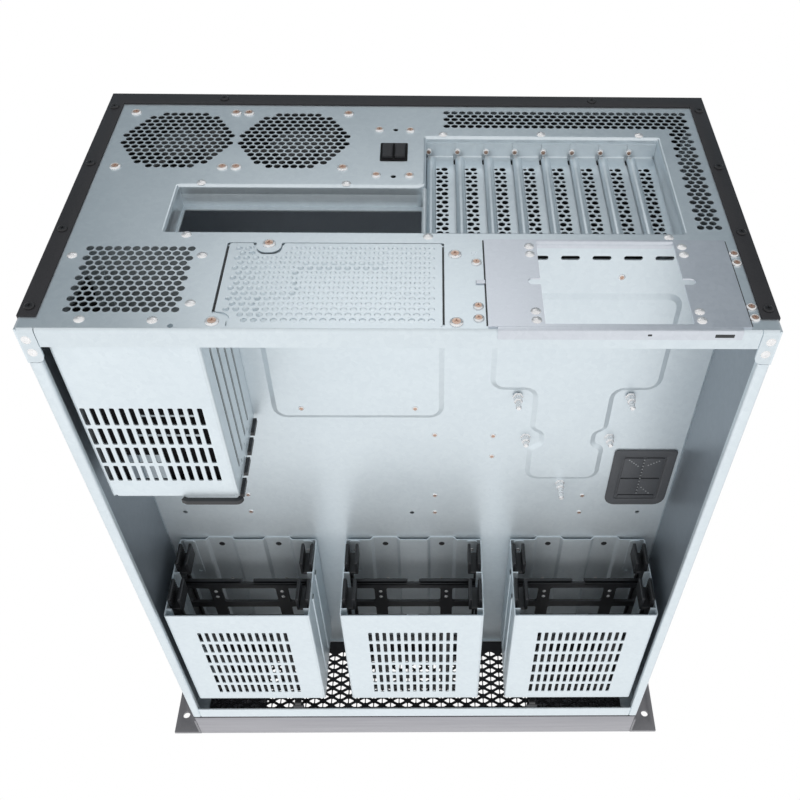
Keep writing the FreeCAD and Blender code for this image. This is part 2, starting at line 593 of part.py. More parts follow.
def grommet():
    """A rubber cable grommet: rim under the tray, a plug in its hole and crossed slits."""
    rim = box("GrommetRim", around("grommet_x", "grommet_width"),
              deep("grommet_near", "grommet_near + grommet_length"),
              ("chamber_height - grommet_thick", "chamber_height"))
    cornered = doc.addObject("Part::Chamfer", "GrommetCorners")
    cornered.Base = rim
    corner = value("grommet_corner")
    upright_edges = (1, 3, 5, 7)
    cornered.Edges = [(edge, corner, corner) for edge in upright_edges]
    inset = "grommet_rim + joint_gap"
    plug = box("GrommetPlug", around("grommet_x", f"grommet_width - 2 * ({inset})"),
               deep(f"grommet_near + {inset}", f"grommet_near + grommet_length - ({inset})"),
               ("chamber_height", "tray_top"))
    tall = ("chamber_height - grommet_thick - overcut", "tray_top + overcut")
    middle = "grommet_near + grommet_length / 2"
    slit = box("Slit", around("grommet_x", "slit_width"),
               deep("grommet_near + slit_margin", "grommet_near + grommet_length - slit_margin"), tall)
    cross = box("CrossSlit", around("grommet_x", "grommet_width - 2 * slit_margin"),
                deep(f"{middle} - slit_width / 2", f"{middle} + slit_width / 2"), tall)
    body = fuse("GrommetBody", [cornered, plug])
    node("cable_grommet", cut("Grommet", body, [fuse("Slits", [slit, cross])]))


def sunk(x, depth):
    """How far the tray's top lies below its flat at a place: the emboss depth inside a field."""
    for name, (low, high), near, far in FIELDS:
        if value(low) < value(x) < value(high) and value(near) < value(depth) < value(far):
            return "emboss_depth"
    return "0"


def spacers(label, places, low, high, hanging=False):
    """Hexagonal spacers at X and depth places, seated on the tray where it is pressed too."""
    solids = []
    for x, depth in places:
        drop = sunk(x, depth)
        ends = (f"{low} - {drop}", f"{high} - {drop}" if hanging else high)
        solids.append(prism("Spacer", 6, "spacer_size / sqrt(3)", "z", x, f"rear_y - ({depth})", ends))
    node(label, group("Spacers", solids))


def cover():
    """The black cover over the top and both sides, with flanges on the rear panel."""
    long = deep("-cover_sheet", "body_depth")
    rear = deep("-cover_sheet", "0")
    tall = ("cover_foot", "body_height")
    roof = box("Roof", ("-half", "half"), long, ("top", "body_height"))
    brow = box("Brow", ("-half", "half"), rear, ("body_height - flange_top", "body_height"))
    right = box("CoverRight", ("frame_half", "half"), long, tall)
    left = box("CoverLeft", ("-half", "-frame_half"), long, tall)
    hem_right = box("HemRight", ("half - flange_side", "half"), rear, tall)
    hem_left = box("HemLeft", ("-half", "-half + flange_side"), rear, tall)
    node("outer_cover", fuse("OuterCover", [roof, brow, right, left, hem_right, hem_left]))
    places = [(f"{side} * (half - cover_screw_inset)", f"cover_screw_low + {step} * cover_screw_step")
              for side in (-1, 1) for step in range(round(value("cover_side_screws")))]
    places += [(f"{side} * cover_top_screw", "body_height - flange_top / 2") for side in (-1, 1)]
    heads("cover_screws", places, "rear_y + cover_sheet")


def slots_below(x, near, length, z):
    """Tools for a row of long slots in a cage's bottom."""
    tools = []
    count = round(value("cage_slots"))
    run = deep(near, f"{near} + {length}")
    for number in range(count):
        middle = f"({x}) + ({number} - {(count - 1) / 2}) * cage_slot_pitch"
        tools.append(box("BottomSlot", around(middle, "cage_slot_width"), run, z))
    return tools


def drive_cage(label, x):
    """A front cage: an open-ended tube with a slotted bottom, raised top strips and tray ledges."""
    long = deep("cage_near", "cage_far")
    past = deep("cage_near - overcut", "cage_far + overcut")
    middles = [f"{x} + {side} * strip_span / 2" for side in (-1, 1)]
    shell = box("CageShell", around(x, "cage_width"), long, ("cage_foot", "cage_top"))
    strips = [box("RaisedStrip", around(middle, "strip_width"), long,
                  ("cage_top - cage_sheet", "chamber_height")) for middle in middles]
    room = box("CageRoom", around(x, "cage_width - 2 * cage_sheet"), past,
               ("cage_foot + cage_sheet", "cage_top - cage_sheet"))
    channels = [box("StripRoom", around(middle, "strip_width - 2 * cage_sheet"), past,
                    ("cage_top - 2 * cage_sheet", "chamber_height - cage_sheet")) for middle in middles]
    slots = slots_below(x, "cage_near + cage_slot_near", "cage_slot_length",
                        ("cage_foot - overcut", "cage_foot + cage_sheet + overcut"))
    inner = fuse("CageHollow", [room] + channels)
    tube = cut("CageTube", cut("CageOpen", fuse("CageSolid", [shell] + strips), [inner]), slots)
    ledges = []
    for level in (0, 1):
        under = f"tray_level + {level} * tray_step - run_gap"
        for side in (-1, 1):
            wall = f"{side} * (cage_width / 2 - cage_sheet)"
            reach = f"{side} * (cage_width / 2 - cage_sheet - ledge_reach)"
            ends = (reach, wall) if side > 0 else (wall, reach)
            across = (f"{x} + {ends[0]}", f"{x} + {ends[1]}")
            ledges.append(box("Ledge", across, long, (f"{under} - cage_sheet", under)))
    node(label, fuse("DriveCage", [tube] + ledges))


def rear_cage():
    """The narrow cage behind the low vent, with a slotted bottom, long wall slots and top flanges."""
    long = deep("sheet", "rear_cage_far")
    past = deep("sheet - overcut", "rear_cage_far + overcut")
    shell = box("RearShell", around("rear_cage_x", "rear_cage_width"), long,
                ("rear_cage_foot", "chamber_height"))
    room = box("RearRoom", around("rear_cage_x", "rear_cage_width - 2 * cage_sheet"), past,
               ("rear_cage_foot + cage_sheet", "chamber_height - cage_sheet"))
    gap = box("RearTopGap", around("rear_cage_x", "rear_cage_width - 2 * rear_flange"), past,
              ("chamber_height - 2 * cage_sheet", "chamber_height + overcut"))
    slots = slots_below("rear_cage_x + rear_slot_shift", "rear_slot_near", "rear_slot_length",
                        ("rear_cage_foot - overcut", "rear_cage_foot + cage_sheet + overcut"))
    wall_slots = []
    for number in range(round(value("wall_slots"))):
        low = f"rear_cage_foot + ({number} + 1) * wall_slot_pitch"
        wall_slots.append(box("WallSlot", around("rear_cage_x", "rear_cage_width + 2 * overcut"),
                              deep("wall_slot_near", "rear_slot_near + rear_slot_length"),
                              (low, f"{low} + wall_slot_height")))
    tube = cut("RearTube", shell, [fuse("RearHollow", [room, gap])])
    node("rear_drive_cage", cut("RearCage", tube, slots + wall_slots))


def drive_tray(label, x, level):
    """A moulded drive tray: barred plate, side rails, lip and a pair of squeeze levers."""
    floor = f"tray_level + {level} * tray_step"
    end = "cage_far - tray_end"
    plate_y = deep("tray_near", end)
    plate = box("DrivePlate", around(x, "2 * drive_half"), plate_y, (floor, f"{floor} + tray_plate"))
    lip = box("DriveLip", around(x, "2 * drive_half"), deep("tray_near", "tray_near + tray_plate"),
              (floor, f"{floor} + tray_lip"))
    windows = []
    tall = (f"{floor} - overcut", f"{floor} + tray_plate + overcut")
    rows = round(value("tray_rows"))
    run = f"({end} - tray_near - tray_bar)"
    bar_left, bar_right = around("-tray_bar_span / 2", "tray_bar"), around("tray_bar_span / 2", "tray_bar")
    edges = ("-drive_half + tray_bar", *bar_left, *bar_right, "drive_half - tray_bar")
    for row in range(rows):
        near = f"tray_near + tray_bar + {row} * {run} / {rows}"
        far = f"tray_near + ({row} + 1) * {run} / {rows}"
        for low, high in zip(edges[0::2], edges[1::2]):
            windows.append(box("DriveWindow", (f"{x} + {low}", f"{x} + {high}"), deep(near, far), tall))
    parts = [cut("DriveLattice", plate, windows), lip]
    lever_z = (f"{floor} + lever_low", f"{floor} + lever_high")
    lever_y = deep("lever_near", "lever_near + lever_root")
    root_y = deep("lever_near + lever_root - tray_rail", "lever_near + lever_root")
    rail_y = deep("lever_near + lever_root - tray_rail", end)
    for side in (-1, 1):
        def across(near_middle, near_wall, turn=side):
            ends = sorted((turn, -turn))
            low, high = (near_middle, near_wall) if ends[0] == -turn else (near_wall, near_middle)
            return f"{x} + {turn} * ({low})", f"{x} + {turn} * ({high})"

        outer = across("drive_half - tray_rail", "drive_half")
        inner = across("drive_half - lever_reach", "drive_half - lever_reach + tray_rail")
        bridge = across("drive_half - lever_reach", "drive_half")
        parts.append(box("DriveRail", outer, rail_y, (floor, f"{floor} + tray_rail_height")))
        parts.append(box("LeverOuter", outer, lever_y, lever_z))
        parts.append(box("LeverInner", inner, lever_y, lever_z))
        parts.append(box("LeverRoot", bridge, root_y, lever_z))
    node(label, fuse("DriveTray", parts))


def power_places():
    """The perforated blank plate with its screws, and the adapter plate with its rivets."""
    plate = box("BlankPlate", around("blank_x", "atx_width"), deep("sheet", "sheet + cage_sheet"),
                ("blank_low", "blank_high"))
    field = staggered(around("window_x", "window_width - 2 * ear_reach"),
                      ("window_low + sheet", "window_high - ear_reach"), "blank_pitch")
    through = deep("sheet - overcut", "sheet + cage_sheet + overcut")
    holes = hex_holes("BlankHoles", field, "blank_hole", through)
    node("psu_blank_plate", cut("BlankPlateCut", plate, [holes]))

    face = box("AdapterFace", around("adapter_x", "adapter_width"), deep("-cage_sheet", "0"),
               ("adapter_low", "blank_high"))
    lip = box("AdapterLip", around("adapter_x", "adapter_width - 2 * adapter_lip_inset"),
              deep("-cover_sheet - screw_head", "0"), ("adapter_low", "adapter_low + sheet"))
    past = deep("-cage_sheet - overcut", "overcut")
    opening = box("AdapterOpening", around("adapter_x", "adapter_opening"), past,
                  ("adapter_low + adapter_sill", "blank_high - adapter_head"))
    round_middle = "adapter_opening / 2 + adapter_notch_reach - adapter_notch / 2"
    notch_z = "chamber_height - adapter_notch_drop"
    notch = box("AdapterNotch", around("adapter_x", f"2 * ({round_middle})"), past,
                around(notch_z, "adapter_notch"))
    ends = [prism("NotchEnd", "ear_flats", "adapter_notch / 2", "y", f"adapter_x + {side} * ({round_middle})",
                  past, notch_z) for side in (-1, 1)]
    opened = fuse("AdapterOpened", [opening, notch] + ends)
    node("psu_adapter_plate", cut("AdapterPlate", fuse("AdapterFolded", [face, lip]), [opened]))

    inner = "supply_screw_x - supply_screw_span"
    heads("psu_screws", [("supply_screw_x", "supply_screw_low"), (inner, "supply_screw_low"),
                         (inner, "supply_screw_low + supply_screw_rise"),
                         ("supply_screw_x - supply_screw_inset", "supply_screw_low + supply_screw_lift")])
    low, high = "adapter_low + adapter_rivet_inset", "blank_high - adapter_rivet_inset"
    levels = (low, f"{low} + adapter_rivet_step", f"{high} - adapter_rivet_step", high)
    columns = [f"adapter_x + {side} * adapter_rivet_span / 2" for side in (-1, 1)]
    heads("adapter_rivets", [(x, z) for x in columns for z in levels], "rear_y + cage_sheet")


def fan(number):
    """A fan behind its grille: square frame with struts and post, and a bladed rotor."""
    x = f"fan_middle_x + ({number} - 1.5) * fan_step"
    z = "fan_middle_z"
    body = box("FanBody", around(x, "fan_size"), deep("sheet", "fan_back"), around(z, "fan_size"))
    past = deep("sheet - overcut", "fan_back + overcut")
    bore = prism("FanBore", "fan_sides", "fan_bore / 2", "y", x, past, z)
    base_y = deep("fan_back - fan_base", "fan_back")
    hub = prism("FanBase", "fan_sides / 2", "fan_hub / 2", "y", x, base_y, z)
    level = box("StrutLevel", around(x, "fan_bore + overcut"), base_y, around(z, "fan_strut"))
    upright = box("StrutUpright", around(x, "fan_strut"), base_y, around(z, "fan_bore + overcut"))
    post = prism("FanPost", "fan_sides / 3", "fan_post / 2", "y", x, deep("post_tip", "fan_back"), z)
    node(f"fan_frame_{number}", fuse("FanFrame", [cut("FanRing", body, [bore]), hub, level, upright, post]))

    rotor_y = deep("sheet + run_gap + fan_base / 2", "fan_back - fan_base - run_gap")
    drum = prism("RotorHub", "fan_sides", "fan_hub / 2", "y", x, rotor_y, z)
    blades = rotor_blades(x, rotor_y, z)
    socket_y = deep("post_tip - run_gap", "fan_back")
    socket = prism("RotorSocket", "fan_sides / 3", "fan_post / 2 + run_gap", "y", x, socket_y, z)
    node(f"fan_rotor_{number}", cut("FanRotor", fuse("RotorSolid", [drum, blades]), [socket]))


def rotor_blades(x, y_range, z):
    """Flat blades set at a pitch round a rotor's axis, with square tips inside the tip circle."""
    low, high = (value(limit) for limit in y_range)
    middle = FreeCAD.Vector(value(x), (low + high) / 2, value(z))
    pitch = math.radians(value("blade_pitch"))
    thick = value("fan_base / 2")
    chord = (high - low - thick) / math.sin(pitch)
    sweep = (chord * math.cos(pitch) + thick) / 2
    root = value("fan_post")
    tip = math.sqrt(value("fan_bore / 2 - fan_tip_gap") ** 2 - sweep ** 2)
    count = round(value("fan_blades"))
    blades = []
    for turn in range(count):
        corner = middle + FreeCAD.Vector(root, -thick / 2, -chord / 2)
        blade = Part.makeBox(tip - root, thick, chord, corner)
        blade.rotate(middle, FreeCAD.Vector(1, 0, 0), math.degrees(pitch))
        blade.rotate(middle, FreeCAD.Vector(0, 1, 0), turn * 360 / count)
        blades.append(blade)
    ring = doc.addObject("Part::Feature", "Blades")
    ring.Shape = Part.Compound(blades)
    return ring


def switch():
    """The rear switch: a housing with two pockets, and two push buttons."""
    flange = box("SwitchFlange", around("switch_x", "switch_width + 2 * switch_flange"),
                 deep("-switch_flange", "0"), around("switch_z", "switch_height + 2 * switch_flange"))
    body = box("SwitchBody", around("switch_x", "switch_width - joint_gap"), deep("0", "switch_deep"),
               around("switch_z", "switch_height - joint_gap"))
    pockets = []
    back = "button_deep + button_room"
    for number, label in ((0, "power_button"), (1, "reset_button")):
        x = f"switch_x + (0.5 - {number}) * button_step"
        pocket_y = deep("-switch_flange - overcut", back)
        pockets.append(box("Pocket", around(x, "button_width + 2 * run_gap"), pocket_y,
                           around("switch_z", "button_height + 2 * run_gap")))
        button_y = deep("-switch_flange - button_proud", "button_deep")
        node(label, box("Button", around(x, "button_width"), button_y, around("switch_z", "button_height")))
    node("switch_housing", cut("SwitchHousing", fuse("SwitchSolid", [flange, body]), pockets))


def mesh_holes(x_range, z_range, y_range):
    """Triangular prisms that point to the sides and leave upright bars and bars at thirty degrees."""
    side = value("mesh_side")
    rise = side * math.sin(math.radians(60))
    low_x, high_x = (value(limit) for limit in x_range)
    low_z, high_z = (value(limit) for limit in z_range)
    low_y, high_y = (value(limit) for limit in y_range)
    reach = rise * 2 / 3 - value("mesh_bar")
    columns = int((high_x - low_x) / rise)
    steps = int((high_z - low_z - side) / side * 2) + 1
    first_x = (low_x + high_x - columns * rise) / 2
    first_z = (low_z + high_z - (steps - 1) * side / 2) / 2
    prisms = []
    for column in range(columns):
        for step in range(steps):
            points_right = (column + step) % 2 == 0
            x = first_x + column * rise + (rise / 3 if points_right else rise * 2 / 3)
            z = first_z + step * side / 2
            start = 0 if points_right else 180
            turns = [math.radians(start + 120 * corner) for corner in range(4)]
            points = [FreeCAD.Vector(x + reach * math.cos(t), low_y, z + reach * math.sin(t)) for t in turns]
            face = Part.Face(Part.makePolygon(points))
            prisms.append(face.extrude(FreeCAD.Vector(0, high_y - low_y, 0)))
    field = doc.addObject("Part::Feature", "MeshHoles")
    field.Shape = Part.Compound(prisms)
    return field


def front():
    """The front plate, the black mesh before it, the bezel and the two rack ears."""
    plate = box("FrontPlate", ("-inner_half", "inner_half"), deep("body_depth - sheet", "body_depth"),
                ("0", "top"))
    foot = box("FrontFoot", ("-rim_half", "rim_half"), deep("body_depth - front_flange", "body_depth"),
               ("0", "sheet"))
    through = deep("body_depth - sheet - overcut", "body_depth + overcut")
    wide = ("-rim_half + front_border / 2", "rim_half - front_border / 2")
    lower = box("LowerWindow", wide, through, ("front_window_low", "front_window_high"))
    upper = box("UpperWindow", wide, through, ("tray_top + tray_flange + front_border", "top - front_border"))
    node("front_plate", cut("FrontPlateCut", fuse("FrontFolded", [plate, foot]), [lower, upper]))

    tall = ("0", "body_height")
    skin = box("MeshSkin", ("-bezel_half", "bezel_half"), deep("body_depth", "mesh_deep"), tall)
    window_x = ("-bezel_half + bezel_cap_left", "bezel_half - bezel_cap_right")
    window_z = ("mesh_border", "body_height - mesh_border")
    holes = mesh_holes(window_x, window_z, deep("body_depth - overcut", "mesh_deep + overcut"))
    node("front_mesh", cut("FrontMesh", skin, [holes]))

    block = box("BezelBlock", ("-bezel_half", "bezel_half"), deep("mesh_deep", "nose"), tall)
    room = box("BezelRoom", ("-bezel_half + bezel_wall", "bezel_half - bezel_wall"),
               deep("mesh_deep - overcut", "nose - bezel_wall"), ("bezel_wall", "body_height - bezel_wall"))
    window = box("BezelWindow", window_x, deep("nose - bezel_wall - overcut", "nose + overcut"),
                 ("bezel_border", "body_height - bezel_border"))
    node("front_bezel", cut("Bezel", block, [fuse("BezelHollow", [room, window])]))

    for label, side in (("rack_ear_left", -1), ("rack_ear_right", 1)):
        def across(inner, outer, turn=side):
            return (inner, outer) if turn > 0 else (f"-({outer})", f"-({inner})")

        face = box("EarFace", across("bezel_half", "ear_half"), deep("nose - ear_sheet", "nose"), tall)
        leg = box("EarLeg", across("bezel_half", "half"), deep("nose - ear_leg_length", "nose"), tall)
        holes = [rod("RackHole", "ear_hole / 2", f"{side} * (ear_half - ear_hole_inset)",
                     deep("nose - ear_sheet - overcut", "nose + overcut"),
                     f"ear_hole_low + {step} * ear_hole_step")
                 for step in range(round(value("ear_holes")))]
        node(label, cut("RackEar", fuse("EarFolded", [face, leg]), holes))


side_frame("side_frame_left", -1)
side_frame("side_frame_right", 1)
rear_panel()
slot_pan()
slot_covers()
mid_tray()
grommet()
cover()
power_places()
switch()
front()
rear_cage()
for cage, middle in (("left", "-cage_step"), ("middle", "0"), ("right", "cage_step")):
    drive_cage(f"drive_cage_{cage}", middle)
    drive_tray(f"drive_tray_{cage}_lower", middle, 0)
    drive_tray(f"drive_tray_{cage}_upper", middle, 1)
for count in (1, 2):
    fan(count)

spacers("tray_spacers",
        [("tee_x - hanger_span / 2", "hanger_near"), ("tee_x + hanger_span / 2", "hanger_near"),
         ("tee_x - hanger_inner_span / 2", "hanger_mid"), ("tee_x + hanger_inner_span / 2", "hanger_mid"),
         ("tee_x", "hanger_far")],
        "chamber_height - hanger_length", "chamber_height", hanging=True)
spacers("board_spacers",
        [(f"board_column - {column}", f"board_near + {row}")
         for column in ("0", "board_column_2", "board_column_3")
         for row in ("0", "board_row_2", "board_row_3")],
        "tray_top", "tray_top + board_lift")
heads("fan_screws",
      [(f"fan_middle_x + {fan_side} * fan_step / 2 + {side} * fan_hole_spacing / 2",
        f"fan_middle_z + {rise} * fan_hole_spacing / 2")
       for fan_side in (-1, 1) for side in (-1, 1) for rise in (-1, 1)])

doc.recompute()
for item in doc.Objects:
    if "Invalid" in item.State or "Error" in item.State:
        raise RuntimeError(f"{item.Name} ({item.Label}) failed: {item.State}")
for label, item in NODES.items():
    if item.Shape.isNull() or not item.Shape.isValid() or not item.Shape.Solids:
        raise RuntimeError(f"{label} has no valid solid")

os.makedirs("parts", exist_ok=True)
for label, item in NODES.items():
    item.Shape.exportStep(f"parts/{label}.step")
print(len(NODES), "nodes written")
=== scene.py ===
import json
import math

import bmesh
import bpy
from mathutils import Matrix, Vector
from mathutils.geometry import delaunay_2d_cdt

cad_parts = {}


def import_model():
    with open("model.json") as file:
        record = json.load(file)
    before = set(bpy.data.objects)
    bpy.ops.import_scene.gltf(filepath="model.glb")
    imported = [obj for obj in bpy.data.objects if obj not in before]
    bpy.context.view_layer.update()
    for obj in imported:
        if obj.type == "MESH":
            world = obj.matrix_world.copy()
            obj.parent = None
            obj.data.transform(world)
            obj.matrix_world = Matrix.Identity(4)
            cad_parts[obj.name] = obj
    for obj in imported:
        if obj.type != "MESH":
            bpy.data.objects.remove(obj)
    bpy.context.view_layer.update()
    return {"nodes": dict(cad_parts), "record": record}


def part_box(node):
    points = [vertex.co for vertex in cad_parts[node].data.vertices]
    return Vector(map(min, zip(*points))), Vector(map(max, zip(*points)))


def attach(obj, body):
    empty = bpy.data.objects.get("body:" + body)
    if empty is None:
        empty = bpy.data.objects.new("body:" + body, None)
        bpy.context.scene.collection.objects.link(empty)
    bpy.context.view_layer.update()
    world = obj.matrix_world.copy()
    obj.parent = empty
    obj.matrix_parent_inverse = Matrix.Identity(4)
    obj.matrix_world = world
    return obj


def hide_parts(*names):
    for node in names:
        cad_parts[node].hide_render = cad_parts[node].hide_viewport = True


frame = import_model()
NODES = frame["nodes"]

# Millimetres across (X), in depth from the rear panel's outer face, and in height (Z)
MM = 0.001
SHEET, THIN, BEND = 1.2, 1.0, 1.4
LAP = 0.1
PITCH, HOLE = 5.6, 2.42
ROW_RISE = PITCH * math.sin(math.radians(60))
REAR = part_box("psu_blank_plate")[1].y / MM + SHEET


def at(x, depth, z):
    """A place in the frame, in metres."""
    return Vector((x, REAR - depth, z)) * MM


def reach(node):
    """A node's ranges in millimetres: across, in depth and in height."""
    low, high = (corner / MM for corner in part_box(node))
    return (low.x, high.x), (REAR - high.y, REAR - low.y), (low.z, high.z)


# Ranges
def middle_of(span):
    return (span[0] + span[1]) / 2


def about(middle, half):
    return middle - half, middle + half


def widened(span, by):
    return span[0] - by, span[1] + by


def shifted(span, by):
    return span[0] + by, span[1] + by


def from_wall(wall, turn, span):
    """A range given by two distances from a wall, to one side of it."""
    return tuple(sorted((wall + turn * span[0], wall + turn * span[1])))


# Ways to lay a flat drawing into the frame: two coordinates of the drawing and a level
def facing_rear(x, z, depth):
    return at(x, depth, z)


def facing_down(x, depth, z):
    return at(x, depth, z)


def facing_side(depth, z, x):
    return at(x, depth, z)


def on_rear(x, z, depth=0.0):
    """Placing for something that stands on a face that looks to the rear."""
    return lambda a, b, level: at(x + a, depth - level, z + b)


def under(x, depth, z):
    """Placing for something that hangs under a face that looks down."""
    return lambda a, b, level: at(x + a, depth + b, z - level)


class Shape:
    """Points and faces of one piece."""

    def __init__(self):
        self.points = []
        self.faces = []

    def put(self, points):
        """Add points and give their numbers."""
        first = len(self.points)
        self.points.extend(points)
        return list(range(first, len(self.points)))

    def cap(self, row):
        self.faces.append(tuple(row))

    def skin(self, rows):
        """Quads between closed rows of points already put."""
        for low, high in zip(rows, rows[1:]):
            for here in range(len(low)):
                after = (here + 1) % len(low)
                self.cap((low[here], low[after], high[after], high[here]))

    def solid(self, rows):
        """Quads between closed rows of points, with the first and last row capped."""
        self.skin(rows)
        self.cap(rows[0])
        self.cap(rows[-1])


# Outlines
def fillet(before, here, after, radius, steps):
    """Points of the arc that rounds one corner."""
    here = Vector(here)
    back = (Vector(before) - here).normalized()
    ahead = (Vector(after) - here).normalized()
    half = back.angle(ahead) / 2
    centre = here + (back + ahead).normalized() * radius / math.sin(half)
    first = here + back * radius / math.tan(half) - centre
    last = here + ahead * radius / math.tan(half) - centre
    sweep = math.atan2(first.x * last.y - first.y * last.x, first.dot(last))
    return [centre + Matrix.Rotation(sweep * k / steps, 2) @ first for k in range(steps + 1)]


def fold(corners, radius=BEND, steps=5):
    """An open line of straight runs with its corners rounded."""
    path = [Vector(corners[0])]
    for before, here, after in zip(corners, corners[1:], corners[2:]):
        path += fillet(before, here, after, radius, steps)
    return path + [Vector(corners[-1])]


def softened(corners, radius, steps=4):
    """A closed outline with its corners rounded, by one radius or by one for each corner."""
    radii = radius if isinstance(radius, list) else [radius] * len(corners)
    ring_of = corners[-1:] + corners + corners[:1]
    outline = []
    for before, here, after, size in zip(ring_of, ring_of[1:], ring_of[2:], radii):
        outline += [tuple(p) for p in fillet(before, here, after, size, steps)]
    return outline


def oblong(x, y):
    """Corners of a rectangle, counter-clockwise."""
    return [(x[1], y[0]), (x[1], y[1]), (x[0], y[1]), (x[0], y[0])]


def rounded(x, y, radius, steps=4):
    """Outline of a rectangle with round corners."""
    return softened(oblong(x, y), radius, steps)


def circle(x, y, radius, sides=12):
    """Outline of a round hole."""
    turns = [2 * math.pi * k / sides for k in range(sides)]
    return [(x + radius * math.cos(t), y + radius * math.sin(t)) for t in turns]


def half_turn(steps):
    """Evenly spaced angles over half a turn."""
    return [math.pi * k / steps for k in range(steps + 1)]


def grown(loop, by):
    """A closed outline moved outwards by a distance; it runs counter-clockwise."""
    result = []
    for before, here, after in zip(loop[-1:] + loop[:-1], loop, loop[1:] + loop[:1]):
        one = (Vector(here) - Vector(before)).normalized()
        two = (Vector(after) - Vector(here)).normalized()
        normal = Vector((one.y + two.y, -one.x - two.x))
        result.append(tuple(Vector(here) + normal * by * 2 / max(normal.length_squared, 1)))
    return result


def inside(point, loop):
    """Does a closed outline hold a point?"""
    held = False
    for (ax, ay), (bx, by) in zip(loop, loop[1:] + loop[:1]):
        if (ay > point[1]) != (by > point[1]) and point[0] < (bx - ax) * (point[1] - ay) / (by - ay) + ax:
            held = not held
    return held


FIT_PLAY = 0.001


def field(x, y, pitch=PITCH, rise=ROW_RISE, keep=None, radius=HOLE):
    """Round holes of a staggered field inside a rectangle; every second row has one hole less."""
    rows = int((y[1] - y[0]) / rise + 1 + FIT_PLAY)
    columns = int((x[1] - x[0]) / pitch + 1 + FIT_PLAY)
    first_y = middle_of(y) - (rows - 1) * rise / 2
    holes = []
    for row in range(rows):
        count = columns - row % 2
        first_x = middle_of(x) - (count - 1) * pitch / 2
        for column in range(count):
            spot = (first_x + column * pitch, first_y + row * rise)
            if keep is None or keep(*spot):
                holes.append(circle(*spot, radius))
    return holes


# Solid forms
KEEP_INSIDE, CLOSE = 1, 1e-7


def plate(shape, outline, holes, levels, place):
    """A flat sheet between two levels, with walls round its outline and its holes."""
    loops = [outline, *holes]
    flat, edges, owner = [], [], []
    for number, loop in enumerate(loops):
        first = len(flat)
        flat += [Vector(point[:2]) for point in loop]
        edges += [(first + k, first + (k + 1) % len(loop)) for k in range(len(loop))]
        owner += [number] * len(loop)
    found = delaunay_2d_cdt(flat, edges, [], KEEP_INSIDE, CLOSE)
    source = [names[0] for names in found[3]]
    sides = [shape.put([place(p.x, p.y, level) for p in flat]) for level in levels]
    for triangle in found[2]:
        corners = [source[k] for k in triangle]
        owners = {owner[k] for k in corners}
        if len(owners) == 1 and owners != {0}:
            middle = sum((flat[k] for k in corners), Vector((0, 0))) / 3
            if inside(middle, loops[owner[corners[0]]]):
                continue
        for side in sides:
            shape.cap(side[k] for k in corners)
    for low, high in edges:
        shape.cap((sides[0][low], sides[0][high], sides[1][high], sides[1][low]))


def thickened(path, thick):
    """The closed section of a sheet whose middle follows an open line."""
    left, right = [], []
    for k, point in enumerate(path):
        ahead = path[min(k + 1, len(path) - 1)] - path[max(k - 1, 0)]
        normal = Vector((-ahead.y, ahead.x)).normalized() * thick / 2
        left.append(point + normal)
        right.append(point - normal)
    return left + right[::-1]


def ribbon(shape, path, thick, run, place):
    """A folded sheet: a line with thickness, drawn out along a run of stations."""
    loop = thickened(path, thick)
    rows = [shape.put([place(p.x, p.y, along) for p in loop]) for along in run]
    shape.skin(rows)
    last = len(loop) - 1
    for row in (rows[0], rows[-1]):
        for k in range(len(path) - 1):
            shape.cap((row[k], row[k + 1], row[last - k - 1], row[last - k]))


def led_round(shape, path, thick, outline, place):
    """A folded sheet led round a closed outline; the line is drawn as (outward offset, level)."""
    rows = [shape.put([place(a, b, level) for a, b in grown(outline, offset)])
            for offset, level in thickened(path, thick)]
    shape.skin(rows + rows[:1])


def block(shape, x, depth, z, soft=0.5):
    """A moulded block with softened edges."""
    rows = []
    for level, inset in ((depth[0], soft), (depth[0] + soft, 0), (depth[1] - soft, 0), (depth[1], soft)):
        outline = rounded(widened(x, -inset), widened(z, -inset), soft, 2)
        rows.append(shape.put([at(a, level, b) for a, b in outline]))
    shape.solid(rows)


def turned(shape, profile, place, sides):
    """A turned form: pairs of radius and level."""
    shape.solid([shape.put([place(a, b, level) for a, b in circle(0, 0, radius, sides)])
                 for radius, level in profile])


# Rivets and screws, drawn in shares of their radius and height
DOME_STEPS, RIVET_SIDES = 4, 14
DIMPLE = [(0.22, 1.0), (0.18, 0.7)]
SCREW_SIDES = 16
SCREW_RIM = [(1.0, 0.0), (1.0, 0.4), (0.92, 0.75), (0.72, 0.98), (0.66, 0.9), (0.64, 0.3)]
CORE_RADIUS, CORE_LEVELS = 0.63, (0.35, 0.88)
CROSS, CROSS_LEVELS = (0.56, 0.24, 0.20, 0.24), ((1.0, 0.88), (0.85, 0.45))
# Radius and height of each kind
PANEL_RIVET, TAB_RIVET, ADAPTER_RIVET = (3.2, 1.1), (2.9, 0.8), (3.1, 1.2)
CAGE_PLUG, CAGE_DOT, HOOK_DOT, TRAY_DOT = (2.6, 0.5), (1.5, 0.5), (2.0, 0.7), (1.7, 0.5)
COMMON_SCREW, FAN_SCREW, SUPPLY_SCREW = (3.2, 1.2), (3.8, 1.2), (4.0, 1.3)
SLOT_SCREW, TRAY_NUT = (2.2, 1.4), (2.2, 0.7)
# The cross recesses of all bright screws are one piece
CORES = Shape()


def rivet(shape, place, size):
    """A rivet's dome with the small dimple of its mandrel."""
    turns = [math.pi / 2 * k / DOME_STEPS for k in range(DOME_STEPS)]
    profile = [(math.cos(t), math.sin(t)) for t in turns] + DIMPLE
    turned(shape, [(size[0] * wide, size[1] * tall) for wide, tall in profile], place, RIVET_SIDES)


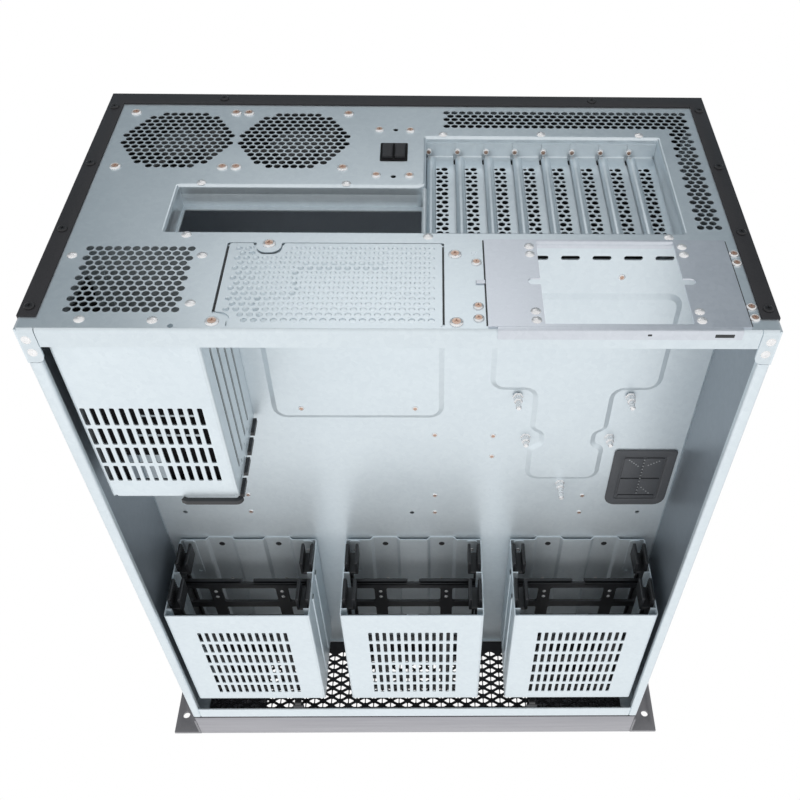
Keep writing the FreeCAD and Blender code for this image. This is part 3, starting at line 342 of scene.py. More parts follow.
def screw(heads, cores, place, size=COMMON_SCREW):
    """A pan head; its cross recess goes to a shape of its own."""
    radius, height = size
    turned(heads, [(radius * wide, height * tall) for wide, tall in SCREW_RIM], place, SCREW_SIDES)
    core = circle(0, 0, radius * CORE_RADIUS, SCREW_SIDES)
    rows = [cores.put([place(a, b, height * level) for a, b in core]) for level in CORE_LEVELS]
    for shrink, level in CROSS_LEVELS:
        star = [(radius * CROSS[k % len(CROSS)] * shrink, 2 * math.pi * k / SCREW_SIDES)
                for k in range(SCREW_SIDES)]
        rows.append(cores.put([place(r * math.cos(t), r * math.sin(t), height * level) for r, t in star]))
    cores.solid(rows)


# Materials: each one mixes two close colours by a broad and a fine noise, with a fine relief
BROAD_DETAIL, FINE_DETAIL, FINE_SHARE, SPANGLE_SHARE = 3.0, 2.0, 0.35, 0.3
TONE_LOW, TONE_HIGH = 0.3, 0.7
RELIEF_DEPTH = 0.0004
GRAIN, SPANGLE = 900.0, 320.0


def new_material(name):
    """A material with the nodes and links of its tree."""
    made = bpy.data.materials.new(name)
    made.use_nodes = True
    return made, made.node_tree.nodes, made.node_tree.links


def ramp_between(nodes, dark, light, low=0.0, high=1.0):
    """A node that runs from one colour to another between two levels."""
    ramp = nodes.new("ShaderNodeValToRGB")
    for element, level, colour in zip(ramp.color_ramp.elements, (low, high), (dark, light)):
        element.position = level
        element.color = (*colour, 1)
    return ramp


def finish(name, dark, light, rough, metallic=0.0, patch=18.0, relief=0.1, spangle=0.0, gloss=0.5,
           lie=(1.0, 1.0, 1.0)):
    """A procedural finish in object space; a small number in lie draws its pattern out along that axis."""
    made, nodes, links = new_material(name)
    shader = nodes["Principled BSDF"]
    shader.inputs["Metallic"].default_value = metallic
    shader.inputs["Specular IOR Level"].default_value = gloss
    stretch = nodes.new("ShaderNodeMapping")
    stretch.inputs["Scale"].default_value = lie
    links.new(nodes.new("ShaderNodeTexCoord").outputs["Object"], stretch.inputs["Vector"])
    place = stretch.outputs["Vector"]

    def noise(scale, detail):
        texture = nodes.new("ShaderNodeTexNoise")
        texture.inputs["Scale"].default_value = scale
        texture.inputs["Detail"].default_value = detail
        links.new(place, texture.inputs["Vector"])
        return texture.outputs["Fac"]

    def mixed(one, two, share):
        """Two grey patterns in one, of which the first has the given share."""
        rest, whole = nodes.new("ShaderNodeMath"), nodes.new("ShaderNodeMath")
        rest.operation, whole.operation = "MULTIPLY", "MULTIPLY_ADD"
        rest.inputs[1].default_value, whole.inputs[1].default_value = 1 - share, share
        links.new(two, rest.inputs[0])
        links.new(one, whole.inputs[0])
        links.new(rest.outputs[0], whole.inputs[2])
        return whole.outputs[0]

    fine = noise(GRAIN, FINE_DETAIL)
    blend = mixed(fine, noise(patch, BROAD_DETAIL), FINE_SHARE)
    if spangle:
        cells = nodes.new("ShaderNodeTexVoronoi")
        cells.inputs["Scale"].default_value = spangle
        links.new(place, cells.inputs["Vector"])
        grey = nodes.new("ShaderNodeRGBToBW")
        links.new(cells.outputs["Color"], grey.inputs["Color"])
        blend = mixed(grey.outputs[0], blend, SPANGLE_SHARE)
    ramp = ramp_between(nodes, dark, light, TONE_LOW, TONE_HIGH)
    links.new(blend, ramp.inputs["Fac"])
    links.new(ramp.outputs["Color"], shader.inputs["Base Color"])
    spread = nodes.new("ShaderNodeMapRange")
    for socket, level in zip(("From Min", "From Max", "To Min", "To Max"), (TONE_LOW, TONE_HIGH, *rough)):
        spread.inputs[socket].default_value = level
    links.new(blend, spread.inputs["Value"])
    links.new(spread.outputs["Result"], shader.inputs["Roughness"])
    bump = nodes.new("ShaderNodeBump")
    bump.inputs["Strength"].default_value = relief
    bump.inputs["Distance"].default_value = RELIEF_DEPTH
    links.new(fine, bump.inputs["Height"])
    links.new(bump.outputs["Normal"], shader.inputs["Normal"])
    return made


STEEL_TONES = (0.63, 0.70, 0.745), (0.685, 0.755, 0.795)
STEEL = finish("galvanised_steel", *STEEL_TONES, (0.29, 0.32), 0.74, relief=0.03, spangle=SPANGLE)
SATIN_STEEL = finish("satin_steel", *STEEL_TONES, (0.34, 0.41), 0.45, relief=0.05, spangle=SPANGLE)
# Painted shade: a darker grey-blue steel for the sheet laid on the inside of the side walls
SIDE_WALL_SHADE = finish("side_wall_painted_shade", (0.27, 0.31, 0.35), (0.34, 0.38, 0.42), (0.36, 0.46), 0.6,
                    relief=0.1, spangle=SPANGLE)
ADAPTER_STEEL = finish("adapter_steel", (0.60, 0.635, 0.69), (0.66, 0.695, 0.75), (0.30, 0.36), 0.8,
                       relief=0.01, spangle=SPANGLE)
BLACK_PAINT = finish("black_powder_coat", (0.020, 0.020, 0.023), (0.032, 0.032, 0.036), (0.42, 0.58),
                     relief=0.25, gloss=0.3)
GREY_PAINT = finish("grey_paint", (0.26, 0.26, 0.285), (0.35, 0.35, 0.375), (0.35, 0.48), patch=260.0,
                    relief=0.12, lie=(0.03, 1.0, 1.0))
EAR_PAINT = finish("ear_paint", (0.18, 0.18, 0.195), (0.235, 0.235, 0.25), (0.38, 0.5), relief=0.15)
PLASTIC = finish("black_plastic", (0.014, 0.015, 0.017), (0.026, 0.027, 0.030), (0.34, 0.5), relief=0.2)
BUTTON = finish("button_plastic", (0.020, 0.021, 0.024), (0.036, 0.037, 0.041), (0.40, 0.5), relief=0.12,
                gloss=0.25)
RUBBER = finish("rubber", (0.055, 0.058, 0.064), (0.085, 0.089, 0.096), (0.55, 0.7), relief=0.3)
# Pale grey-blue for a sheet under the black cover: partly its unpainted inner face, partly painted light
# that brightens what shows through the rear panel's openings
LINER_PAINTED_LIGHT = finish("cover_liner_painted_light", (0.52, 0.57, 0.64), (0.60, 0.65, 0.72), (0.45, 0.6))
# A lighter grey for the dashes along the grommet's slits
SLIT = finish("pale_slit_rubber", (0.22, 0.23, 0.24), (0.36, 0.37, 0.38), (0.5, 0.6), relief=0.2)
ZINC = finish("bright_zinc", (0.78, 0.78, 0.79), (0.90, 0.90, 0.90), (0.22, 0.34), 0.6, relief=0.04)
COPPER_ZINC = finish("yellow_zinc", (0.55, 0.38, 0.30), (0.70, 0.52, 0.43), (0.28, 0.40), 0.8, relief=0.05)
BLACK_SCREW = finish("black_zinc", (0.018, 0.018, 0.02), (0.035, 0.035, 0.038), (0.3, 0.42), 0.5)
# Deepest black: the switch housing's own plastic, and the painted shade inside the rear cage
DEEP_BLACK_AND_SHADE = finish("switch_black_and_painted_shade", (0.005, 0.005, 0.006), (0.010, 0.010, 0.011), (0.5, 0.6), gloss=0.1)
BRASS = finish("brass", (0.60, 0.42, 0.20), (0.72, 0.52, 0.28), (0.22, 0.34), 1.0, relief=0.04)
SLOT_FINISH = {"galvanised": STEEL, "black_paint": BLACK_PAINT, "grey_paint": GREY_PAINT,
               "ear_paint": EAR_PAINT, "black_plastic": PLASTIC, "button_plastic": BUTTON,
               "rubber": RUBBER, "screw_steel": ZINC, "black_screw": BLACK_SCREW, "brass": BRASS}
for subpart in frame["record"]["subparts"]:
    shown = NODES[subpart["node"]].data.materials
    shown.clear()
    shown.append(SLOT_FINISH[subpart["material_slot"]])

# Angles in degrees: where shading breaks, what is dissolved as flat, and what is bevelled
CREASE, FLAT_ANGLE, SHARP_ANGLE = 32, 2, 40
WELD = 1e-6


def piece(name, shape, slot, replaces=(), body="case", material=None):
    """A finished piece, which rides on a body and may stand for nodes."""
    mesh = bpy.data.meshes.new(name)
    mesh.from_pydata(shape.points, [], shape.faces)
    work = bmesh.new()
    work.from_mesh(mesh)
    bmesh.ops.recalc_face_normals(work, faces=work.faces)
    work.to_mesh(mesh)
    work.free()
    dressed(name, mesh, slot, replaces, body, material)


def dressed(name, mesh, slot, replaces, body, material=None):
    """Put a mesh into the scene with its finish, body and slot."""
    for face in mesh.polygons:
        face.use_smooth = True
    mesh.set_sharp_from_angle(angle=math.radians(CREASE))
    mesh.materials.clear()
    mesh.materials.append(material or SLOT_FINISH[slot])
    thing = bpy.data.objects.new(name, mesh)
    bpy.context.scene.collection.objects.link(thing)
    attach(thing, body)
    if replaces:
        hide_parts(*replaces)


def bevelled(name, node, slot, width, body="case"):
    """A copy of a node with softened edges."""
    work = bmesh.new()
    work.from_mesh(NODES[node].data)
    bmesh.ops.remove_doubles(work, verts=work.verts, dist=WELD)
    bmesh.ops.dissolve_limit(work, angle_limit=math.radians(FLAT_ANGLE), verts=work.verts,
                             edges=work.edges)
    sharp = [e for e in work.edges if e.is_manifold and e.calc_face_angle() > math.radians(SHARP_ANGLE)]
    bmesh.ops.bevel(work, geom=sharp, offset=width * MM, segments=2, profile=0.5, affect="EDGES",
                    clamp_overlap=True)
    mesh = bpy.data.meshes.new(name)
    work.to_mesh(mesh)
    work.free()
    dressed(name, mesh, slot, (node,), body)


# Rear panel: its sheet, rims, corner tabs and side returns
PANEL_HALF, PANEL_TOP, PANEL_SHEET = 214.8, 264.0, 0.5
RIM_HALF, FLANGE = 207.7, 12.4
TAB_INNER, TAB_GAP, TAB_START, TAB_LENGTH = 205.4, 0.5, 2.9, 24.0
TAB_ROUNDS = [0.2, 0.2, 0.4, 5.0]
RETURN_BELOW, RETURN_ABOVE, RETURN_TOP, RETURN_ROUND = 2.0, 0.3, 1.5, 0.5
# Perforated fields: two round grilles, a band with a column below its end, and a low vent
FANS = [(middle_of(x), middle_of(z)) for x, _, z in (reach("fan_frame_1"), reach("fan_frame_2"))]
GRILLE, GRILLE_HALF, GRILLE_RISE = 37.0, 36.4, 7 * ROW_RISE
VENT_X, VENT_TOP, VENT_PITCH, VENT_RISE = (-198.6, -27.6), 242.0, 5.7, 4.7
BAND_LOW, COLUMN_LOW = VENT_TOP - 4 * VENT_RISE, VENT_TOP - 30 * VENT_RISE
LOW_VENT_X, LOW_VENT_Z = (129.0, 190.6), (18.0, 76.3)
SMALL_HOLE, SMALL_HOLES = 1.8, [(8.4, 217.6), (8.5, 157.6), (-43.0, 72.8), (129.3, 3.9)]
# Recess for connectors and slots, whose edge is rolled inwards
IO_X, IO_Z = (-12.1, 148.9), (95.0, 146.0)
SLOT_X, SLOT_Z = (-175.66, -13.1), (95.0, 208.0)
RECESS = softened([(IO_X[1], SLOT_Z[0]), (IO_X[1], IO_Z[1]), (SLOT_X[1], IO_Z[1]), (SLOT_X[1], SLOT_Z[1]),
                   (SLOT_X[0], SLOT_Z[1]), (SLOT_X[0], SLOT_Z[0])], [1, 1, 6.5, 1, 1, 1])
ROLL, ROLL_RADIUS, ROLL_END = 1.9, 1.35, 6.2
# Switch and power-supply openings
SWITCH_X, SWITCH_Z, SWITCH_ROUND = (0.0, 17.8), (177.3, 198.5), 0.6
ADAPTER_X, _, ADAPTER_Z = reach("psu_adapter_plate")
SUPPLY_INSET, SUPPLY_Z, SUPPLY_ROUND = 9.0, (5.4, 83.5), 2.0
WINDOW_X, WINDOW_Z = (-25.0, 108.0), (3.6, 83.0)
WINDOW_ROUND, EAR_BEND, EAR_ROUND = 1.5, 1.2, 7.0
EAR, EAR_DROP = 7.7, 10.0
SUPPLY_SCREWS = [(106.5, 7.4), (-31.5, 7.4), (-31.5, 71.4), (82.5, 81.4)]
# Rivets and screws, as (across, height), and those of the tabs as (across, depth)
PAN_RIVETS = [(134.5, 149), (39.3, 148.8), (-25, 211.8), (-94, 212.7), (-163.2, 212.2),
              (134.7, 90.8), (-15, 89.9), (-165.3, 90.1)]
VENT_RIVETS = [(199.8, 69.1), (121.7, 69.7), (121.4, 23.9), (140.3, 8.7), (181.4, 9.3)]
TAB_RIVETS = [(211.4, 7.5), (210.8, 16.6)]
PANEL_SCREWS = [(-202.5, 72.8), (-202.5, 63.7), (-202.5, 21.8), (-202.5, 11.9),
                (-44.3, 63.5), (-44.3, 21.8), (-44.3, 11.0),
                (19.9, 217.4), (-1.9, 216.7), (20.0, 158.9), (-2.2, 158.6)]


def supply_window(side=0.0, end=0.0, ear=0.0):
    """Outline of the opening before the blank plate, with ears at two of its screws, or one inside it."""
    (low_x, high_x), (low_z, high_z) = widened(WINDOW_X, -side), widened(WINDOW_Z, -end)
    (foot_x, foot_z), head_x = SUPPLY_SCREWS[0], SUPPLY_SCREWS[3][0]
    wide, drop = EAR + ear, WINDOW_Z[1] - EAR_DROP - ear
    corners = [(low_x, low_z), (foot_x - wide, low_z), (foot_x - wide, foot_z + wide),
               (high_x, foot_z + wide), (high_x, high_z), (head_x + wide, high_z), (head_x + wide, drop),
               (head_x - wide, drop), (head_x - wide, high_z), (low_x, high_z)]
    foot_rounds = [WINDOW_ROUND, EAR_BEND, EAR_ROUND, EAR_BEND]
    head_rounds = [WINDOW_ROUND, EAR_BEND, EAR_ROUND, EAR_ROUND, EAR_BEND, WINDOW_ROUND]
    return softened(corners, foot_rounds + head_rounds, 6)


def panel_holes():
    """All openings of the rear panel."""
    holes = [grown(RECESS, ROLL), rounded(SWITCH_X, SWITCH_Z, SWITCH_ROUND), supply_window(),
             rounded(widened(ADAPTER_X, -SUPPLY_INSET), SUPPLY_Z, SUPPLY_ROUND)]
    for x, z in FANS:
        holes += field(about(x, GRILLE_HALF), about(z, GRILLE_RISE),
                       keep=lambda a, b, x=x, z=z: math.hypot(a - x, b - z) <= GRILLE)
    holes += field(VENT_X, (BAND_LOW, VENT_TOP), VENT_PITCH, VENT_RISE)
    holes += field((VENT_X[0], VENT_X[0] + 2 * VENT_PITCH), (COLUMN_LOW, BAND_LOW), VENT_PITCH, VENT_RISE,
                   keep=lambda a, b: b < BAND_LOW - VENT_RISE / 2)
    holes += field(LOW_VENT_X, LOW_VENT_Z)
    return holes + [circle(x, z, SMALL_HOLE) for x, z in SMALL_HOLES]


def rear_panel():
    shape = Shape()
    mid = SHEET / 2
    low, high = mid + BEND, PANEL_TOP - mid - BEND
    outline = oblong(about(0, PANEL_HALF), (low, high))
    plate(shape, outline, panel_holes(), (0, PANEL_SHEET), facing_rear)
    roll = fold([(ROLL + mid, mid), (mid, mid), (mid, ROLL_END)], ROLL_RADIUS)
    led_round(shape, roll, SHEET, RECESS, facing_rear)
    foot = fold([(mid, low), (mid, mid), (FLANGE, mid)])
    ribbon(shape, foot, SHEET, about(0, TAB_INNER - TAB_GAP), facing_side)
    brow = fold([(mid, high), (mid, PANEL_TOP - mid), (FLANGE, PANEL_TOP - mid)])
    ribbon(shape, brow, SHEET, about(0, RIM_HALF), facing_side)
    tray_low, tray_high = reach("mid_tray")[2]
    for side in (-1, 1):
        inner, outer, edge = side * TAB_INNER, side * PANEL_HALF, side * (PANEL_HALF - mid)
        bend = fold([(mid, low), (mid, mid), (TAB_START + LAP, mid)])
        ribbon(shape, bend, SHEET, (inner, outer), facing_side)
        corners = [(inner, TAB_START), (outer, TAB_START), (outer, TAB_LENGTH), (inner, TAB_LENGTH)]
        plate(shape, softened(corners, TAB_ROUNDS, 6), [], (0, SHEET), facing_down)
        for z in ((low, tray_low - RETURN_BELOW), (tray_high + RETURN_ABOVE, PANEL_TOP - RETURN_TOP)):
            plate(shape, rounded((mid, FLANGE), z, RETURN_ROUND, 2), [], about(edge, mid), facing_side)
    piece("rear_panel_sheet", shape, "galvanised", ("rear_panel",))

    rivets, fixings = Shape(), Shape()
    for x, z in PAN_RIVETS + VENT_RIVETS:
        rivet(rivets, on_rear(x, z), PANEL_RIVET)
    for x, depth in TAB_RIVETS:
        for side in (1, -1):
            rivet(rivets, under(side * x, depth, 0), TAB_RIVET)
    for x, z in PANEL_SCREWS:
        screw(fixings, CORES, on_rear(x, z))
    piece("panel_rivets", rivets, "screw_steel")
    piece("panel_fixings", fixings, "screw_steel")


# Connector and slot pan: stepped rim, divider, face, aperture, slot openings and the ticks above them
PAN_DEPTH, PAN_RIM, PAN_STEP, PAN_STEP_BACK, PAN_BEND = 15.0, 5.5, 2.4, 0.9, 0.5
PAN_FACE, PAN_OVER, PAN_ROUND = (PAN_DEPTH + 0.05, PAN_DEPTH + 0.95), 0.2, 0.6
DIVIDER_X, DIVIDER_DEPTH = (SLOT_X[1] - 0.2, IO_X[0] + 0.5), 1.6
DIVIDER_BEND, DIVIDER_SHEET = 0.7, 0.8
APERTURE_X, APERTURE_Z = widened(IO_X, -1.6), (IO_Z[0] + 2.7, IO_Z[1] - 4.6)
OPENING_HALF, OPENING_Z, OPENING_ROUND = 6.3, widened(SLOT_Z, -5), 1.0
TICK_HALF, TICK_Z, TICK_ROUND = 1.0, (SLOT_Z[1] - 9, SLOT_Z[1] - 2), 0.6
SLOT_PITCH, SLOT_COUNT = 20.32, 8
SLOTS = [SLOT_X[1] - (k + 0.5) * SLOT_PITCH for k in range(SLOT_COUNT)]


def slot_pan():
    shape = Shape()
    wall = THIN / 2
    rim, step, side = SHEET + wall, ROLL_END - PAN_STEP_BACK, wall + LAP
    path = [(PAN_RIM, rim), (PAN_STEP, rim), (PAN_STEP, step), (side, step), (side, PAN_DEPTH + wall)]
    led_round(shape, fold(path, PAN_BEND), THIN, RECESS, facing_rear)
    left, right = DIVIDER_X
    divider = [(left, PAN_DEPTH), (left, DIVIDER_DEPTH), (right, DIVIDER_DEPTH), (right, PAN_DEPTH)]
    ribbon(shape, fold(divider, DIVIDER_BEND), DIVIDER_SHEET, widened(IO_Z, -PAN_OVER), facing_down)
    aperture = rounded(APERTURE_X, APERTURE_Z, OPENING_ROUND)
    openings = [rounded(about(x, OPENING_HALF), OPENING_Z, OPENING_ROUND) for x in SLOTS]
    openings += [rounded(about(x - SLOT_PITCH / 2, TICK_HALF), TICK_Z, TICK_ROUND, 2) for x in SLOTS[:-1]]
    for x, z, holes in ((IO_X, IO_Z, [aperture]), (SLOT_X, SLOT_Z, openings)):
        outline = rounded(widened(x, PAN_OVER), widened(z, PAN_OVER), PAN_ROUND)
        plate(shape, outline, holes, PAN_FACE, facing_rear)
    piece("slot_pan_sheet", shape, "galvanised", ("slot_pan",), material=SATIN_STEEL)


# Slot covers: a perforated strip, a rolled ridge beside it and a tab bent over the pan
COVER_HALF, COVER_NECK, COVER_FACE, COVER_ROUND = 10.06, 8.9, 3.45, 0.3
COVER_FOOT, COVER_BENT, COVER_LAP = 0.3, 6.0, 0.2
COVER_TOP_ROW, COVER_ROWS, COVER_RISE = 190.8, 17, 5.08
COVER_SMALL, COVER_BIG = 1.35, 2.3
COVER_SPOTS = (((1.9, COVER_SMALL), (-2.7, COVER_BIG)), ((0.7, COVER_BIG), (-4.0, COVER_SMALL)))
RIDGE_MIDDLE, RIDGE_RADIUS, RIDGE_OVER = 6.7, 3.0, 0.6
COVER_BEND, COVER_TAB, COVER_TAB_DEPTHS, COVER_TAB_SHEET = 1.6, 11.0, (4.0, 12.0), 1.04
COVER_SCREW_X, COVER_SCREW_DEPTH = 8.5, 9.8


def slot_covers():
    low, high = SLOT_Z[0] + COVER_FOOT, SLOT_Z[1]
    bent, crown, face = high - COVER_BENT, high - THIN / 2, PAN_DEPTH - THIN / 2
    heads, tabs = Shape(), Shape()
    for number, x in enumerate(SLOTS, 1):
        shape = Shape()
        holes = [circle(x + aside, COVER_TOP_ROW - row * COVER_RISE, radius)
                 for row in range(COVER_ROWS) for aside, radius in COVER_SPOTS[row % 2]]
        strip = rounded((x - COVER_NECK, x + COVER_FACE), (low, bent), COVER_ROUND, 2)
        plate(shape, strip, holes, (PAN_DEPTH - THIN, face), facing_rear)
        ridge = [Vector((x + RIDGE_MIDDLE + RIDGE_RADIUS * math.cos(t), face - RIDGE_RADIUS * math.sin(t)))
                 for t in half_turn(12)]
        ribbon(shape, ridge, THIN, (low, bent + RIDGE_OVER), facing_down)
        piece(f"slot_cover_sheet_{number}", shape, "galvanised", (f"slot_cover_{number}",))
        bend = fold([(face, bent - COVER_LAP), (face, crown), (COVER_TAB, crown)], COVER_BEND)
        ribbon(tabs, bend, THIN, about(x, COVER_NECK), facing_side)
        plate(tabs, rounded(about(x, COVER_HALF), COVER_TAB_DEPTHS, COVER_ROUND, 2), [],
              (high - COVER_TAB_SHEET, high), facing_down)
        screw(heads, CORES, under(x + COVER_SCREW_X, COVER_SCREW_DEPTH, high - THIN), SLOT_SCREW)
    piece("slot_cover_tabs", tabs, "galvanised", material=SATIN_STEEL)
    piece("slot_screw_heads", heads, "screw_steel", ("slot_screws",))


# Mid tray with its two pressed fields, drawn as (across, depth)
PRESS, SLOPE = 1.6, 1.9
TRAY_Z = reach("mid_tray")[2][0] + PRESS
TRAY_HALF, TRAY_DEPTHS = 213.4, (1.4, 474.6)
TRAY_EDGE, TRAY_EDGE_RUN, TRAY_EDGE_RISE, TRAY_EDGE_BEND = 214.2, 1.0, 12.0, 0.7
FIELD_RADIUS, BITE_RADIUS = 9.0, 6.0
PLAIN_FIELD = [(-24, 43), (7, 43), (7, 20), (71, 20), (71, 43), (100, 43), (100, 152.5), (-24, 152.5)]
TEE_X = -121.5
TEE_HEAD = [(60.5, 42), (60.5, 124), (28, 124)]
TEE_BITE = [(28, 165), (20, 170), (20, 182), (28, 187)]
TEE_FOOT = [(28, 222)]
TIE_SLOTS, TIE_HALF, TIE_DEPTHS, TIE_ROUND = (-165, -145, -125, -105, -85), 6.0, (11.5, 14.5), 1.4
TRAY_HOLE, TRAY_HOLES = 1.9, [(0.5, 268), (-192, 267), (192.7, 267)]
TRAY_NUTS = [(-19, 173), (-64, 174), (-64, 197), (-19, 245), (-19, 267), (-142, 245), (-142, 267),
             (137, 266), (136, 244), (-140, 27.4)]
FIELD_NUTS = [(80, 143.4), (-4.4, 143.4)]
GROMMET_SEAT, GROMMET_PLAY = 4.0, 0.4


def tray_fields():
    """Outlines of the plain field and of the T-shaped one, counter-clockwise."""
    half = TEE_HEAD + TEE_BITE + TEE_FOOT
    radii = [FIELD_RADIUS] * len(TEE_HEAD) + [BITE_RADIUS] * len(TEE_BITE) + [FIELD_RADIUS] * len(TEE_FOOT)
    tee = [(TEE_X + x, d) for x, d in half] + [(TEE_X - x, d) for x, d in reversed(half)]
    return softened(PLAIN_FIELD, FIELD_RADIUS), softened(tee, radii + radii[::-1])


def mid_tray():
    shape = Shape()
    fields = tray_fields()
    holes = [grown(loop, SLOPE) for loop in fields]
    seat = [widened(span, -GROMMET_SEAT) for span in reach("cable_grommet")[:2]]
    holes.append(rounded(*seat, GROMMET_SEAT))
    holes += [rounded(about(x, TIE_HALF), TIE_DEPTHS, TIE_ROUND) for x in TIE_SLOTS]
    holes += [circle(x, depth, TRAY_HOLE) for x, depth in TRAY_HOLES]
    plate(shape, oblong(about(0, TRAY_HALF), TRAY_DEPTHS), holes, (TRAY_Z, TRAY_Z + SHEET), facing_down)
    path = [(SLOPE * math.cos(t), PRESS * (1 - math.cos(t)) / 2) for t in half_turn(6)]
    for loop in fields:
        rows = [shape.put([at(x, depth, level - drop) for x, depth in grown(loop, by)])
                for level, way in ((TRAY_Z, path), (TRAY_Z + SHEET, path[::-1])) for by, drop in way]
        shape.skin(rows + rows[:1])
        plate(shape, grown(loop, -SLOPE), [], (TRAY_Z - PRESS, TRAY_Z - PRESS + SHEET), facing_down)
    mid = TRAY_Z + SHEET / 2
    for side in (-1, 1):
        edge = side * TRAY_EDGE
        path = fold([(edge - side * TRAY_EDGE_RUN, mid), (edge, mid), (edge, TRAY_Z + TRAY_EDGE_RISE)],
                    TRAY_EDGE_BEND)
        ribbon(shape, path, SHEET, TRAY_DEPTHS, facing_rear)
    piece("mid_tray_sheet", shape, "galvanised", ("mid_tray",), material=SATIN_STEEL)

    nuts = Shape()
    for spots, level in ((TRAY_NUTS, TRAY_Z), (FIELD_NUTS, TRAY_Z - PRESS)):
        for x, depth in spots:
            screw(nuts, CORES, under(x, depth, level), TRAY_NUT)
    piece("tray_nuts", nuts, "brass", material=ZINC)


# Hanging spacers: a hexagon as pairs of radius and drop, and a thin tip below it
SPACER_HEX = [(4.0, 0), (4.0, 0.6), (3.3, 0.9), (3.3, 5.6), (2.8, 6.0)]
TIP_START, TIP_RADIUS, TIP_POINT, TIP_TAPER = 5.8, 2.1, 1.5, 0.8
# Across from the T-shaped field's middle, depth, start below the tray and length
HANGERS = [(41.5, 131, PRESS, 13), (-41.5, 131, PRESS, 13), (32.5, 175, 0, 10), (-32.5, 175, 0, 10),
           (0, 229, 0, 17)]


def spacers():
    hangers = Shape()
    for aside, depth, drop, long in HANGERS:
        place = under(TEE_X + aside, depth, TRAY_Z - drop)
        turned(hangers, SPACER_HEX, place, 6)
        tip = [(TIP_RADIUS, TIP_START), (TIP_RADIUS, long - TIP_TAPER), (TIP_POINT, long)]
        turned(hangers, tip, place, 12)
    piece("hanging_spacers", hangers, "screw_steel", ("tray_spacers",))


# Cable grommet: its rim as pairs of inset and lift, four flaps, dashes along their slits and a bar
GROMMET_SHOULDER = 0.6
GROMMET_LIP = [(0.0, 0.7), (0.7, 0.0), (6.5, 0.0), (7.4, 0.6), (7.6, 1.4)]
GROMMET_NEAR_ROUND, GROMMET_FAR_ROUND = 3.0, 9.0
FLAP_INSET, FLAP_END, FLAP_GAP_X, FLAP_GAP_DEPTH, FLAP_Z = 9.0, 13.0, 0.4, 0.5, (0.5, 1.8)
SLIT_NEAR, SLIT_FAR, SLIT_LIFT = 11.0, 15.0, 0.5
DASH_HALF, DASH_Z, DASH_SOFT = 0.55, (-0.2, 0.6), 0.15
BAR_INSET, BAR_DEPTHS, BAR_Z, BAR_SOFT = 10.0, (-12.0, -8.6), (0.3, 1.6), 0.4


def stitches(shape, start, end, count, z):
    """Short light dashes along a slit of the grommet."""
    way = Vector(end) - Vector(start)
    for k in range(count):
        spot = Vector(start) + way * k / (count - 1)
        block(shape, about(spot.x, DASH_HALF), about(spot.y, DASH_HALF), shifted(DASH_Z, z), DASH_SOFT)


def grommet():
    shape = Shape()
    x, depth, (low, _) = reach("cable_grommet")
    rim = [(GROMMET_SHOULDER, TRAY_Z), (0.0, TRAY_Z - GROMMET_SHOULDER)]
    rim += [(inset, low + lift) for inset, lift in GROMMET_LIP]
    rows = []
    for inset, level in rim:
        near, far = max(GROMMET_NEAR_ROUND - inset, 1), max(GROMMET_FAR_ROUND - inset, 2)
        outline = rounded(widened(x, -inset), widened(depth, -inset), [near, far, far, near], 5)
        rows.append(shape.put([at(a, b, level) for a, b in outline]))
    shape.solid(rows)
    mid_x, mid_depth = middle_of(x), middle_of(depth)
    for wide in ((x[0] + FLAP_INSET, mid_x - FLAP_GAP_X), (mid_x + FLAP_GAP_X, x[1] - FLAP_INSET)):
        for deep in ((depth[0] + FLAP_INSET, mid_depth - FLAP_GAP_DEPTH),
                     (mid_depth + FLAP_GAP_DEPTH, depth[1] - FLAP_END)):
            block(shape, wide, deep, shifted(FLAP_Z, low))
    seat = -GROMMET_SEAT - GROMMET_PLAY
    plug = rounded(widened(x, seat), widened(depth, seat), GROMMET_SEAT - GROMMET_PLAY)
    plate(shape, plug, [], (TRAY_Z, TRAY_Z + SHEET), facing_down)
    piece("cable_grommet_rubber", shape, "rubber", ("cable_grommet",))

    slits, bar = Shape(), Shape()
    near, far, level = depth[0] + SLIT_NEAR, depth[1] - SLIT_FAR, low + SLIT_LIFT
    stitches(slits, (mid_x, near), (mid_x, far), 12, level)
    stitches(slits, (x[1] - 13, near), (mid_x + 4, near + 7), 5, level)
    stitches(slits, (x[0] + 13, near + 1), (mid_x - 4, near + 6), 5, level)
    stitches(slits, (x[0] + 15, far), (mid_x - 3, far - 7), 4, level)
    piece("grommet_slits", slits, "rubber", material=SLIT)
    block(bar, widened(x, -BAR_INSET), shifted(BAR_DEPTHS, depth[1]), shifted(BAR_Z, low), BAR_SOFT)
    piece("grommet_bar", bar, "rubber")


# Bottom slots of the cages: rows, spacing of the rows, width and length
FRONT_SLOTS, FRONT_SLOT_NEAR = (6, 18.1, 3.2, 14.2), 26.3
REAR_SLOTS, REAR_SLOT_NEAR, REAR_SLOT_MIDDLE = (4, 17.63, 3.3, 14.9), 66.4, 163.45
BOTTOM_COLUMNS, BOTTOM_STEP, BOTTOM_ROUND, CAGE_ROUND = 13, 6.05, 0.9, 0.4


def bottom_slots(middle, near, rows, spacing, width, length):
    """Rounded slots of a cage's bottom, in rows about its middle."""
    first = middle - (BOTTOM_COLUMNS - 1) / 2 * BOTTOM_STEP
    return [rounded(about(first + column * BOTTOM_STEP, width / 2),
                    shifted((0, length), near + row * spacing), BOTTOM_ROUND, 3)
            for row in range(rows) for column in range(BOTTOM_COLUMNS)]


